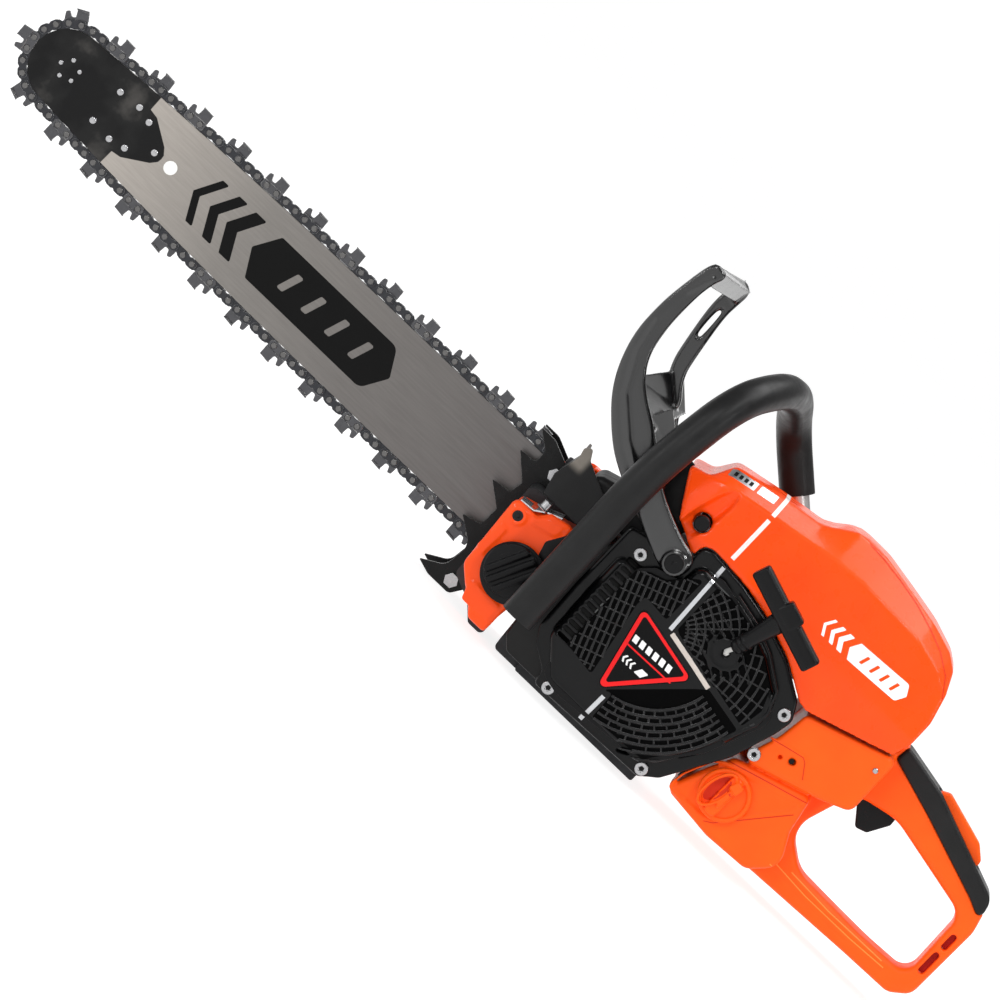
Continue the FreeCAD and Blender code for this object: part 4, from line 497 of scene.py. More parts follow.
def finished(work, outward=False, angle=None):
    """Turn a bmesh into a mesh, with its normals outward or its faces smooth by angle where asked."""
    mesh = bpy.data.meshes.new("mesh")
    if outward:
        bmesh.ops.recalc_face_normals(work, faces=work.faces)
    work.to_mesh(mesh)
    work.free()
    if angle:
        smooth(mesh, angle)
    return mesh


def merged(meshes, angle=None):
    """One mesh from several."""
    work = bmesh.new()
    for mesh in meshes:
        work.from_mesh(mesh)
    return finished(work, angle=angle)


def baked(holder):
    """Mesh of an object's final shape; the object goes."""
    bpy.context.view_layer.update()
    mesh = bpy.data.meshes.new_from_object(holder.evaluated_get(bpy.context.evaluated_depsgraph_get()))
    bpy.data.objects.remove(holder)
    return mesh


def flat_mesh(loops, half=0.0, bevel=0.0):
    """Filled outline with holes in the XY plane, in mm, with a thickness about that plane."""
    curve = bpy.data.curves.new("outline", "CURVE")
    curve.dimensions = "2D"
    curve.fill_mode = "BOTH"
    for loop in loops:
        spline = curve.splines.new("POLY")
        spline.points.add(len(loop) - 1)
        for point, (u, v) in zip(spline.points, loop):
            point.co = (u, v, 0, 1)
        spline.use_cyclic_u = True
    curve.extrude = max(half - bevel, 0.0)
    curve.bevel_depth = bevel
    curve.bevel_resolution = 2
    curve.offset = -bevel
    return baked(linked("outline", curve))


def edit(mesh, change):
    """Run a change on a mesh's bmesh, and leave its normals outward and smooth by angle."""
    work = bmesh.new()
    work.from_mesh(mesh)
    change(work)
    bmesh.ops.recalc_face_normals(work, faces=work.faces)
    work.to_mesh(mesh)
    work.free()
    smooth(mesh)


def smooth(mesh, angle=32):
    for polygon in mesh.polygons:
        polygon.use_smooth = True
    mesh.set_sharp_from_angle(angle=math.radians(angle))


def add_piece(name, mesh, slot, body="saw", paint=None):
    """Make an object of the mesh that rides on a body."""
    mesh.name = name
    piece = linked(name, mesh)
    mesh.materials.clear()
    mesh.materials.append(SLOTS[paint or slot])
    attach(piece, body)
    return piece


def slab_mesh(loops, y_low, y_high, bevel=0.0):
    """Side view outline with a thickness from y_low to y_high."""
    mesh = flat_mesh(loops, (y_high - y_low) / 2, bevel)
    centre = (y_low + y_high) / 2

    def place(work):
        bmesh.ops.remove_doubles(work, verts=work.verts, dist=0.002)
        for vertex in work.verts:
            u, v, depth = vertex.co
            vertex.co = side_view(u, v, centre - depth)

    edit(mesh, place)
    return mesh


def slab(name, loops, y_low, y_high, slot, body="saw", bevel=0.0, paint=None):
    return add_piece(name, slab_mesh(loops, y_low, y_high, bevel), slot, body, paint)


def band(points, width):
    """Loop of a strip of one width along (u, v) points."""
    places = [Vector(point) for point in points]
    left, right = [], []
    for index, place in enumerate(places):
        ahead = places[min(index + 1, len(places) - 1)] - places[max(index - 1, 0)]
        across = Vector((-ahead.y, ahead.x)).normalized() * (width / 2)
        left.append(tuple(place + across))
        right.append(tuple(place - across))
    return left + right[::-1]


def arc_points(u, v, radius, first, last, count=16):
    """Points on a circle between two angles in degrees."""
    angles = [math.radians(first + (last - first) * index / (count - 1)) for index in range(count)]
    return [polar(u, v, radius, angle) for angle in angles]


def surface_of(obj):
    """Ray target of an object's final shape."""
    final = obj.evaluated_get(bpy.context.evaluated_depsgraph_get())
    mesh = final.to_mesh()
    tree = BVHTree.FromPolygons([v.co.copy() for v in mesh.vertices], [p.vertices[:] for p in mesh.polygons])
    final.to_mesh_clear()
    return tree


def depth_at(surface, u, v, start=-300):
    """Depth in mm at which a surface is met along Y, or None."""
    hit = surface.ray_cast(side_view(u, v, start), Vector((0, -math.copysign(1, start), 0)))[0]
    return hit and hit.y / MM


def skin(name, loops, surface, slot, body="saw", paint=None, view=side_view, start=-300.0, lift=0.12,
         grain=3.0):
    """Thin sheet that follows a surface: its outline is thrown onto it along the view."""
    mesh = flat_mesh(loops)
    direction = view(0, 0, 1).normalized() * (1 if start < 0 else -1)

    def lay(work):
        bmesh.ops.remove_doubles(work, verts=work.verts, dist=0.002)
        bmesh.ops.triangulate(work, faces=work.faces)
        for _ in range(7):
            long_edges = [edge for edge in work.edges if edge.calc_length() > grain]
            if not long_edges:
                break
            bmesh.ops.subdivide_edges(work, edges=long_edges, cuts=1)
            bmesh.ops.triangulate(work, faces=work.faces)
        lost = []
        for vertex in work.verts:
            origin = view(vertex.co.x, vertex.co.y, start)
            hit = surface.ray_cast(origin, direction)[0]
            if hit is None:
                lost.append(vertex)
            else:
                vertex.co = hit - direction * lift * MM
        bmesh.ops.delete(work, geom=lost, context="VERTS")
        stretched = [edge for edge in work.edges if edge.calc_length() > 3 * grain * MM]
        bmesh.ops.delete(work, geom=stretched, context="EDGES_FACES")
        bmesh.ops.recalc_face_normals(work, faces=work.faces)
        top = work.faces[:]
        made = bmesh.ops.extrude_face_region(work, geom=top)
        for vertex in (item for item in made["geom"] if isinstance(item, bmesh.types.BMVert)):
            vertex.co += direction * lift * MM * 1.5
        work.normal_update()

    edit(mesh, lay)
    return add_piece(name, mesh, slot, body, paint)


def melted(name, meshes, voxel, rounds, slot, body="saw", paint=None, shape=None):
    """One piece from overlapping meshes, fused and with melted edges."""
    holder = linked("holder", merged(meshes))
    remesh = holder.modifiers.new("remesh", "REMESH")
    remesh.mode = "VOXEL"
    remesh.voxel_size = voxel * MM
    melt = holder.modifiers.new("melt", "SMOOTH")
    melt.factor = 0.5
    melt.iterations = rounds
    mesh = baked(holder)
    if shape:
        for vertex in mesh.vertices:
            vertex.co = shape(vertex.co)
    for polygon in mesh.polygons:
        polygon.use_smooth = True
    return add_piece(name, mesh, slot, body, paint)


def softened(node, voxel, rounds, extras=(), shape=None):
    """Piece that stands for a node: its solid joined with extra meshes, with melted edges."""
    slot = next(row["material_slot"] for row in frame["record"]["subparts"] if row["node"] == node)
    body = next(key for key, nodes in frame["record"]["behaviour"]["bodies"].items() if node in nodes)
    piece = melted(node + "_shell", [NODES[node].data, *extras], voxel, rounds, slot, body, shape=shape)
    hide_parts(node)
    return piece


def ball_mesh(place, radius, axis, flat=1.0, segments=20):
    """Half sunk, flattened ball: a rivet head."""
    work = bmesh.new()
    bmesh.ops.create_uvsphere(work, u_segments=segments, v_segments=10, radius=radius * MM)
    turn = Vector((0, 0, 1)).rotation_difference(axis).to_matrix()
    for vertex in work.verts:
        vertex.co.z *= flat
        vertex.co = turn @ vertex.co + place
    return finished(work, angle=60)


def turned(profile, axis, place, count, closed=False, angle=40):
    """Round shape turned about an axis from a profile of (radius, height) in mm."""
    turn = Vector((0, 0, 1)).rotation_difference(axis).to_matrix()
    work = bmesh.new()
    rows = []
    for reach, height in profile:
        spots = [polar(0, 0, reach, math.tau * k / count) for k in range(count if reach else 1)]
        rows.append([work.verts.new(turn @ Vector((*spot, height)) * MM + place) for spot in spots])
    for low, high in zip(rows, rows[1:] + rows[:closed]):
        for k in range(count):
            after = (k + 1) % count
            corners = (low[k % len(low)], low[after % len(low)], high[after % len(high)], high[k % len(high)])
            work.faces.new(dict.fromkeys(corners))
    return finished(work, True, angle)


def ring_mesh(place, axis, radius, thickness, squeeze=1.0):
    """Round ring about an axis."""
    section = [polar(0, 0, thickness, math.tau * k / 10) for k in range(10)]
    return turned([(radius + out, squeeze * up) for out, up in section], axis, place, 40, True, 80)


def rod_mesh(start, end, radius, tip_radius=None, count=28, rim=0.6):
    """Round rod with broken edges between two places in mm."""
    axis = Vector(end) - Vector(start)
    length = axis.length
    tip = tip_radius or radius
    near = [(0, 0), (radius - rim, 0), (radius, rim)]
    far = [(tip, length - rim), (tip - rim, length), (0, length)]
    return turned(near + far, axis.normalized(), Vector(start) * MM, count)


def peg_mesh(x, z, y_start, y_end, radius, rim=0.6):
    """Rod across the saw, from one depth to another."""
    return rod_mesh((x, y_start, z), (x, y_end, z), radius, rim=rim)


def box_mesh(low, high, bevel=0.5):
    """Box between two places in mm with rounded edges."""
    work = bmesh.new()
    bmesh.ops.create_cube(work, size=1.0)
    size = Vector(high) - Vector(low)
    centre = (Vector(high) + Vector(low)) / 2
    for vertex in work.verts:
        vertex.co = vertex.co * size + centre
    bmesh.ops.bevel(work, geom=work.edges, offset=bevel, segments=3, profile=0.5, affect="EDGES")
    for vertex in work.verts:
        vertex.co *= MM
    return finished(work, angle=32)


def joined(name, meshes, slot, body="saw", paint=None):
    """One piece from several meshes."""
    return add_piece(name, merged(meshes, 32), slot, body, paint)


# ---------------- bar

BAR_LEFT, BAR_RIGHT = (corner[1] for corner in span("guide_bar"))
BAR_RIVETS = [
    (-613.1, 83.7, 1.7), (-607.3, 91.3, 1.7), (-598.2, 88.1, 1.7), (-598.4, 79, 1.7), (-607.5, 76, 1.7),
    (-566.1, 98.4, 2.6), (-548, 100, 2.6), (-535.3, 96.8, 2.6), (-517, 83.3, 2.6), (-535.5, 70.4, 2.6),
    (-548.5, 67.5, 2.6), (-566.6, 69, 2.6),
]
PLUG_X = -500.7


def slanted(u_low, u_high, v_low, v_high, lean, radius=1.5):
    """Parallelogram that leans along u by lean over its height."""
    corners = [(u_low, v_low), (u_high, v_low), (u_high + lean, v_high), (u_low + lean, v_high)]
    return rounded_loop(corners, radius)


def chevron(u, v_low, v_high, width, reach, radius=1):
    """Arrow-like band that points towards -u."""
    middle = (v_low + v_high) / 2
    rear = [(u + width, v_low), (u + width - reach, middle), (u + width, v_high)]
    return rounded_loop([(u, v_low), *rear, (u, v_high), (u - reach, middle)], radius)


def chain_details():
    """Polished heads on every rivet of the chain."""
    NODES["chain_rivets"].material_slots[0].material = SLOTS["rivet_head"]


def bar_details():
    """Rivets, plug and graphics on both sides of the bar."""
    sides = ((-1, BAR_LEFT), (1, BAR_RIGHT))
    rivets = [ball_mesh(side_view(x, z, y), radius, Vector((0, side, 0)), 0.22)
              for x, z, radius in BAR_RIVETS for side, y in sides]
    plugs = []
    for side, y in sides:
        place, axis = side_view(PLUG_X, BAR_AXIS_MM, y), Vector((0, side, 0))
        plugs += [ball_mesh(place, 4.8, axis, 0.12, 32), ring_mesh(place, axis, 4.9, 0.35, 0.7)]
    joined("bar_rivets", rivets, "screw_steel")
    joined("bar_plug", plugs, "white_ceramic")
    middle = BAR_AXIS_MM
    low, high = middle - 20.5, middle + 20.5
    block = rounded_loop([
        (-405, low, 2), (-288, low, 8), (-276, middle, 3), (-288, high, 8), (-405, high, 2), (-417, middle, 2),
    ])
    holes = [slanted(-384 + 24 * k, -378 + 24 * k, middle - 9, middle + 9, 6) for k in range(4)]
    for side, y_low in (("left", BAR_LEFT - 0.09), ("right", BAR_RIGHT - 0.02)):
        printed = partial(slab, y_low=y_low, y_high=y_low + 0.11, slot="bar_steel", paint="print_black")
        for k in range(3):
            printed("bar_graphic_%s_%d" % (side, k), [chevron(-466 + 17 * k, low, high, 6.5 + 2.2 * k, 11)])
        printed("bar_graphic_%s_block" % side, [block, *holes])


# ---------------- top cover


def scoop(place):
    """Press an eye-shaped hollow into the left wall, around the button of the valve."""
    x, y, z = (value / MM for value in place)
    if y > -36 or not 160 < z < 212:
        return place
    rise = (z - 178) / 33
    if abs(rise) >= 1:
        return place
    half = 8.6 * math.sqrt(1 - rise * rise)
    centre = -42.6 + (z - 172) * 0.21
    off = (x - centre) / half
    if abs(off) >= 1:
        return place
    depth = 6 * (1 - off ** 4) * (1 - max(rise, 0) ** 3)
    return Vector((place.x, place.y + depth * MM, place.z))


def top_cover_details():
    """Side graphic, label and rear seams on the cover's softened shell."""
    sheet = partial(skin, surface=surface_of(softened("top_cover", 1.3, 7, shape=scoop)), slot="orange_shell")
    for k in range(3):
        arrow = chevron(79 + 7.5 * k, 178.5, 193.5, 2.6 + k, 4.5, 0.5)
        sheet("cover_graphic_%d" % k, [arrow], paint="print_white")
    block = rounded_loop([
        (104.5, 178.5, 1), (150, 180.5, 3), (154.5, 188.5, 1.5), (150, 196.2, 3), (104.5, 194, 1),
        (100, 186.2, 1),
    ])
    holes = [slanted(112 + 9.5 * k, 114.6 + 9.5 * k, 183 + 0.3 * k, 190.5 + 0.3 * k, 2.4, 0.6)
             for k in range(4)]
    sheet("cover_graphic_block", [block, *holes], paint="print_white")
    label = partial(sheet, paint="foil", view=top_view, start=400)
    inner = slanted(-47.8, -28.7, -41.9, -34.6, 0, 0.5)
    label("label_frame", [slanted(-49, -27.5, -43, -33.5, 0, 0.8), inner])
    bars = [slanted(-46 + 4.3 * k, -43.4 + 4.3 * k, -40.6, -35.9, 0, 0.4) for k in range(4)]
    label("label_field", [inner, *bars], lift=0.1)
    for k, loop in enumerate(bars):
        label("label_bar_%d" % k, [loop], paint="print_black")
    label("label_plate", [slanted(-25, -10.5, -43, -33.5, 0, 0.8)])
    line = [(60, 248.3), (75, 247.3), (94.1, 244.6), (115, 240.3), (133.4, 234.6), (150, 227.9), (165, 218),
            (175, 204)]
    for name, start in (("rear_seam", -300), ("right_seam", 300)):
        sheet(name, [band(line, 0.9)], paint="seam", start=start, grain=2)


# ---------------- starter cover


RIGHT_CENTRE = (-9, 101)
UPPER_CENTRE = (-14, 4)
DOME_Y = -74
SCREEN_Y = -71.8


def starter_ribs():
    """Raised ribs between the cooling slots, as meshes to melt into the cover."""
    ribs = [(arc_points(*RIGHT_CENTRE, 59.6 + 5.2 * k, -71 + k, -17), 1.3, 1.2, 1.5) for k in range(7)]
    ribs += [(arc_points(*UPPER_CENTRE, 115.1 + 6.2 * k, 59 - k, 78), 1.4, 1.4, 1.5) for k in range(5)]
    ribs.append((arc_points(38, 124, 13.5, -200, 20, 24), 2.2, 2.4, 1.5))
    rim = [(16, 158.5), (40, 153), (62, 143.5), (84, 128), (90.5, 112), (90, 100), (81, 76)]
    ribs.append((rim, 2, 1, 4))
    return [slab_mesh([band(points, width)], DOME_Y - rise, DOME_Y + root)
            for points, width, rise, root in ribs]


def inside(place, polygon):
    """Whether a place lies in a closed polygon."""
    u, v = place
    sides = zip(polygon, polygon[-1:] + polygon[:-1])
    crossed = [u < (far_x - x) * (v - y) / (far_y - y) + x for (x, y), (far_x, far_y) in sides
               if (y > v) != (far_y > v)]
    return sum(crossed) % 2 == 1


def clipped(points, polygon, keep_out):
    """Runs of points that lie in a polygon and off the circles (u, v, radius)."""
    def kept(point):
        return inside(point, polygon) and all(math.dist(point, circle[:2]) > circle[2] for circle in keep_out)

    runs = [list(run) for keep, run in groupby(points, kept) if keep]
    return [run for run in runs if len(run) > 2]


def field_ribs(lines, polygon, width, height, keep_out=()):
    """Raised ribs along lines, clipped to a field of the cover."""
    return [slab_mesh([band(run, width)], DOME_Y - height, DOME_Y + 0.6, 0.15)
            for line in lines for run in clipped(line, polygon, keep_out)]


def straight(first, last, gap=1.5):
    """Points along a straight line."""
    count = max(int(math.dist(first, last) / gap), 2)
    return [tuple(a + (b - a) * k / count for a, b in zip(first, last)) for k in range(count + 1)]


OUTLET_SPOT = (38, 122, 16.5)
RIGHT_FIELD = [
    (1.5, 111), (1.5, 152), (14, 154), (38, 149), (60, 139.5), (80, 125), (86, 110), (83, 92), (50, 99.5),
    (49, 98.5), (5, 109),
]
LOWER_FIELD = [(0, 45), (1, 22), (48, 25), (62, 44), (74, 64), (83, 88), (48, 95), (40, 88), (-8, 41)]
LEFT_FIELD = [
    (-49.5, 121), (-48.5, 48), (-21, 44), (-32, 104), (-31, 112), (-9, 110), (-9, 150), (-18, 143), (-29, 131),
    (-41, 127),
]


def around(reach, degrees):
    """Point at a distance and an angle from the centre of the cover's right field."""
    return polar(*RIGHT_CENTRE, reach, math.radians(degrees))


def fields():
    """Polar grid on the right of the cover and fine upright ribs on its left."""
    arcs = [arc_points(*RIGHT_CENTRE, 22 + 6.2 * ring, -14, 84, 80) for ring in range(12)]
    spokes = [straight(around(20, -8 + 7.4 * step), around(96, -8 + 7.4 * step)) for step in range(13)]
    upright = [straight((-22 + 5 * k, 40), (-60 + 5 * k, 142)) for k in range(-5, 10)]
    across = [straight((-52, 40 + 9 * k), (0, 58 + 9 * k)) for k in range(12)]
    ribs = field_ribs(arcs, RIGHT_FIELD, 1.7, 1.5, [OUTLET_SPOT])
    ribs += field_ribs(spokes, RIGHT_FIELD, 1.3, 1, [OUTLET_SPOT])
    ribs += field_ribs(upright, LEFT_FIELD, 1.8, 1.5)
    ribs += field_ribs(across, LEFT_FIELD, 1.1, 0.9)
    for ring in range(7):
        for step in range(9):
            turn = -77 + 7.2 * step + 3.6 * (ring % 2)
            ends = [around(reach + 5.2 * ring, turn) for reach in (58.6, 63.8)]
            if all(inside(end, LOWER_FIELD) for end in ends):
                ribs.append(slab_mesh([band(ends, 1.4)], DOME_Y - 0.9, DOME_Y + 0.6, 0.15))
    lower = [arc_points(*RIGHT_CENTRE, 58.6 + 5.2 * ring, -86, -12, 70) for ring in range(8)]
    ribs += field_ribs(lower, LOWER_FIELD, 1.8, 1.5)
    return ribs


def starter_screen():
    """Fine black screen behind the slots."""
    loop = rounded_loop([(-50, 122, 8), (-48, 20, 10), (-30, 16, 6), (50, 22, 8), (78, 60, 20), (97, 108, 12),
                         (84, 122, 14), (40, 150, 20), (-2, 160, 6), (-12, 140, 8), (-40, 132, 8)])
    slab("fan_screen", [loop], SCREEN_Y, SCREEN_Y + 0.8, "black_gloss", paint="black_plastic", bevel=0.2)


def badge_details():
    """Red border and line, and white marks with no letters."""
    face = -76.2
    mark = partial(slab, y_high=face + 0.05, slot="badge")
    outer = rounded_loop([(-26.6, 105.2, 3.4), (34.3, 91.4, 3.4), (-11.6, 40, 3.4)])
    inner = rounded_loop([(-22.6, 101.9, 1.6), (29, 90.3, 1.6), (-9.9, 46.6, 1.6)])
    mark("badge_border", [outer, inner], y_low=face - 0.35, bevel=0.12, paint="print_red")
    mark("badge_line", [band([(-19.2, 78.3), (24.6, 79.2)], 1.2)], y_low=face - 0.3, paint="print_red")
    mark = partial(mark, y_low=face - 0.25, paint="print_white")
    for k in range(6):
        low = -16.6 + 6.3 * k
        mark("badge_bar_%d" % k, [slanted(low, low + 4.3, 82.2 + 0.2 * k, 87.6 + 0.2 * k, -1.2, 0.4)])
    for k in range(3):
        mark("badge_mark_%d" % k, [chevron(-11.6 + 3.7 * k, 66.6, 72.4, 1.6, 1.8, 0.3)])
    mark("badge_block", [slanted(-0.2, 6.2, 66.8, 72.4, 3.2, 0.5)])


STRIPS = [
    ("strip_top", [(-5, 165), (-3.6, 136), (-2.2, 106.9)], 3.2, "foil", 0.5),
    ("strip_low", [(-3.3, 38.8), (-4, 13.5)], 3.4, "foil", 0.4),
    ("strip_badge", [(0.8, 105.6), (24, 100.6), (47, 95.2)], 3.6, "warm_foil", 0.5),
]


def starter_details():
    """Starter cover with its ribs, field floors in painted shade, metal strips and badge."""
    surface = surface_of(softened("starter_cover", 0.85, 3, extras=starter_ribs()))
    starter_screen()
    joined("cover_ribs", fields(), "black_gloss", paint="rib_black")
    # Field floors: near-black sheets with almost no gloss, as painted shade down between the ribs.
    for index, field in enumerate((RIGHT_FIELD, LEFT_FIELD, LOWER_FIELD)):
        slab("field_floor_%d" % index, [rounded_loop(field, 2)], DOME_Y - 0.12, DOME_Y + 0.3, "black_gloss",
             paint="painted_shade_black")
    for name, points, width, paint, lift in STRIPS:
        skin(name, [band(points, width)], surface, "black_gloss", paint=paint, lift=lift)
    badge_details()


# ---------------- grip, rope, handles


GRIP_CENTRE = Vector((51, -99, 173))
STEM_FOOT = Vector((40, -82.5, 130))


ROPE_OUTLET = Vector((37.4, -75.4, 123.5))


def rope_details():
    """Rope from the outlet to the grip's stem."""
    rows, sides, radius = 24, 10, 0.0018
    start, end = ROPE_OUTLET * MM, STEM_FOOT * MM
    side = (end - start).normalized().cross(Vector((1, 0, 0))).normalized()
    other = (end - start).normalized().cross(side)
    points = []
    for row in range(rows + 1):
        for k in range(sides):
            u, v = polar(0, 0, radius, math.tau * (k + 0.5 * (row % 2)) / sides)
            points.append(start.lerp(end, row / rows) + u * side + v * other)
    faces = [tuple(reversed(range(sides))), tuple(rows * sides + k for k in range(sides))]
    for row in range(rows):
        low, high = row * sides, (row + 1) * sides
        faces += [(low + k, low + (k + 1) % sides, high + (k + 1) % sides, high + k) for k in range(sides)]
    mesh = bpy.data.meshes.new("rope_run")
    mesh.from_pydata(points, [], faces)
    rope = linked(mesh.name, mesh)
    dress(rope, SLOTS["rope"])
    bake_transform(rope)


def grip_details():
    """Starter grip with a block at its middle and rings round the foot of its stem."""
    tilt = Matrix.Rotation(math.atan2(0.327, 0.945), 3, "Y")
    block = box_mesh((-9, -8.6, -2.5), (9, 8.6, 10.5), 1.6)
    for vertex in block.vertices:
        vertex.co = tilt @ vertex.co + GRIP_CENTRE * MM
    axis = (GRIP_CENTRE - STEM_FOOT).normalized()
    rings = [ring_mesh((STEM_FOOT + axis * (3 + 4.2 * k)) * MM, axis, 4.9 + 0.35 * k, 1.25) for k in range(3)]
    softened("starter_grip", 0.6, 5, extras=[block, *rings])


TANK_LINES = [
    [(75.5, 35.4), (79.5, 45.5), (85.5, 58.5), (92.5, 64.3), (125, 73.5), (157.5, 82.3)],
    [(112, 20.8), (118, 24.5), (137, 47), (156, 69.5)],
    [(104.2, 98.6), (118, 102), (131.8, 105), (135, 103.2), (142.6, 92.8)],
]
# Light lines just above the bow's ridges: painted highlights.
BOW_HIGHLIGHTS = [
    [(168.3, 31.6), (205, 28.8), (250, 29), (282.4, 30.6)],
    [(186.1, 34.6), (225, 32.6), (278.2, 33.4)],
]
RIDGES = [
    ([(168, 30.6), (205, 26.8), (250, 27.4), (283, 30)], -17.9),
    ([(186, 33.6), (215, 30.6), (255, 31), (280, 33.2)], -17.9),
    ([(104.2, 99), (131.5, 105.6), (134.6, 104.2), (142.8, 92.6)], -56.7),
]
PANEL = [
    [(74.5, 20, 5), (77, 36, 8), (86, 57.5, 5), (93, 63.2, 5), (157, 81, 6), (154, 70, 10), (118, 25, 8),
     (110, 21, 8)],
    [(76.5, 22, 4), (79, 36, 7), (87.5, 56, 4), (94, 61.2, 4), (154.5, 78.2, 4), (152, 70, 9), (117, 27, 7),
     (109.5, 23, 7)],
]
PLATE_HOLE = (127.5, 97.1)


def handle_details():
    """Ridges, screws and recesses of the rear handle, with painted highlights on the bow and painted shade in the
    slots and a hole.
    """
    extras = [slab_mesh([band(points, 1.5)], far, far + 3) for points, far in RIDGES]
    extras.append(slab_mesh([rounded_loop(outline) for outline in PANEL], -51.1, -48.5))
    surface = surface_of(softened("rear_handle", 1.15, 4, extras=extras))
    for name, lines, paint in (("tank", TANK_LINES, "seam"), ("bow", BOW_HIGHLIGHTS, "painted_highlight_orange")):
        for index, line in enumerate(lines):
            skin("%s_line_%d" % (name, index), [band(line, 0.8)], surface, "orange_tank", paint=paint, grain=2)
    # Black peg in the plate's hole: painted shade in the hole.
    joined("plate_hole_shade", [peg_mesh(*PLATE_HOLE, -57.4, -50, 2, rim=0.2)], "black_plastic")
    softened("throttle_trigger", 0.6, 10)
    softened("throttle_lock", 0.7, 8)
    softened("grip_pad", 0.9, 8)
    near = depth_at(surface_of(NODES["body_screws"]), -33.2, 143.6)
    if near:
        cap = [peg_mesh(-33.2, 143.4, start, near - rise, radius)
               for start, rise, radius in ((near + 3, 0.8, 7.2), (near, 1.3, 1.8))]
        joined("pivot_cap", cap, "black_plastic")
    # Dark red sheets at the slots' floors: painted shade in the slots.
    for index, (low, high) in enumerate(((46.5, 65.5), (70.5, 83.5))):
        slab("slot_floor_%d" % index, [slanted(301.2, 306.8, low, high, 0, 1)], -9, -8, "orange_tank",
             paint="painted_shade_red")
    joined("choke_screw", [peg_mesh(175.6, 134.3, -57.6, -54, 2.1)], "screw_steel")


FUEL_CENTRE = (103, 45.5)


def oval_loop(across, lean, height, scale_u=1, scale_v=1):
    """Leaning oval round the middle of the fuel cap."""
    turns = [math.tau * k / 36 for k in range(36)]
    return [(FUEL_CENTRE[0] + (across * math.cos(turn) + lean * math.sin(turn)) * scale_u,
             FUEL_CENTRE[1] + height * math.sin(turn) * scale_v) for turn in turns]


def fuel_cap_details():
    """Fuel cap with an oval grip ridge and a small lever."""
    face = span("fuel_cap")[0][1]
    lever = rounded_loop([(107.5, 53, 1), (110.5, 60.5, 1.5), (117, 58.6, 1.5), (115.8, 50.8, 1)])
    extras = [slab_mesh([oval_loop(8.4, 3, 17.2), oval_loop(6.6, 2.7, 15.2)], face - 2.6, face + 2),
              slab_mesh([lever], face - 4.2, face + 2),
              slab_mesh([band([(111.5, 36), (112.5, 52)], 2.4)], face - 2.2, face + 2)]
    surface = surface_of(softened("fuel_cap", 0.55, 3, extras=extras))
    # Darker red oval in the cap's hollow: painted shade in the recess.
    hollow = oval_loop(8.4, 3, 17.2, 0.66, 0.7)
    skin("cap_hollow", [hollow], surface, "orange_cap", "fuel_closure", paint="seam", grain=2)
    # Darker red band under the lever: painted shadow of the lever.
    gap = band([(107.2, 50.6), (115.4, 48.2)], 1.6)
    skin("lever_shadow", [gap], surface, "orange_cap", "fuel_closure", paint="seam")


def oil_cap_details():
    """Oil cap with a plate, three ribs, and a wider collar disc behind it: painted shade of the recess round the
    cap.
    """
    low, high = span("oil_cap")
    face = low[1]
    u, v = (low[0] + high[0]) / 2 + 2, (low[2] + high[2]) / 2
    turn = math.radians(64)
    extras = [slab_mesh([circle_loop(u, v, 19.8, 48)], face - 0.4, face + 2),
              # Wider collar disc behind the cap: painted shade of the recess round it.
              slab_mesh([circle_loop(u + 2, v - 1, 23.4, 48)], face + 1.2, face + 4)]
    for lift in (-8, 0, 8):
        half = math.sqrt(19 ** 2 - lift ** 2)
        points = [(u + side * half * math.cos(turn) - lift * math.sin(turn),
                   v + side * half * math.sin(turn) + lift * math.cos(turn)) for side in (-1, 1)]
        extras.append(slab_mesh([band(points, 4.4)], face - 3.2, face + 2))
    softened("oil_cap", 0.6, 3, extras=extras)


GUARD_ARM = [
    (-163, 318), (-156, 321), (-147, 318), (-152, 306), (-154, 290), (-154, 262), (-149, 236), (-134, 218),
    (-108, 202), (-78, 176), (-42, 160), (-26, 157), (-21, 148), (-24, 136), (-34, 131), (-74, 148), (-112, 165),
    (-132, 180), (-156, 206), (-169, 240), (-170, 272), (-167, 296),
]
GUARD_FAR_ARM = [
    (-138, 321), (-127, 316), (-128, 303), (-129, 290), (-124, 256), (-120, 236), (-104, 218), (-116, 212),
    (-134, 236), (-139, 262), (-143, 290), (-142, 306),
]
GUARD_RIGHT_ARM = [
    (-128, 228), (-112, 228), (-100, 208), (-76, 178), (-44, 158), (-26, 155), (-21, 147), (-24, 138), (-34, 132),
    (-68, 150), (-100, 176), (-124, 204),
]
GUARD_WINDOW = [(-134.6, 294), (-132.6, 290), (-131.6, 268), (-133.4, 264), (-135.6, 270), (-136.4, 288)]


def cut_corners(points, rounds=3):
    """Smooth closed loop from a polygon."""
    for _ in range(rounds):
        pairs = zip(points, points[1:] + points[:1])
        points = [tuple(a + share * (b - a) for a, b in zip(first, after))
                  for first, after in pairs for share in (0.25, 0.75)]
    return points


def loft_mesh(near, near_y, far, far_y):
    """Solid between two side view outlines with the same number of corners."""
    work = bmesh.new()
    rows = [[work.verts.new(side_view(*point, y)) for point in points]
            for points, y in ((near, near_y), (far, far_y))]
    count = len(near)
    for index in range(count):
        after = (index + 1) % count
        work.faces.new((rows[0][index], rows[0][after], rows[1][after], rows[1][index]))
    for row in rows:
        work.faces.new(row)
    return finished(work, True)


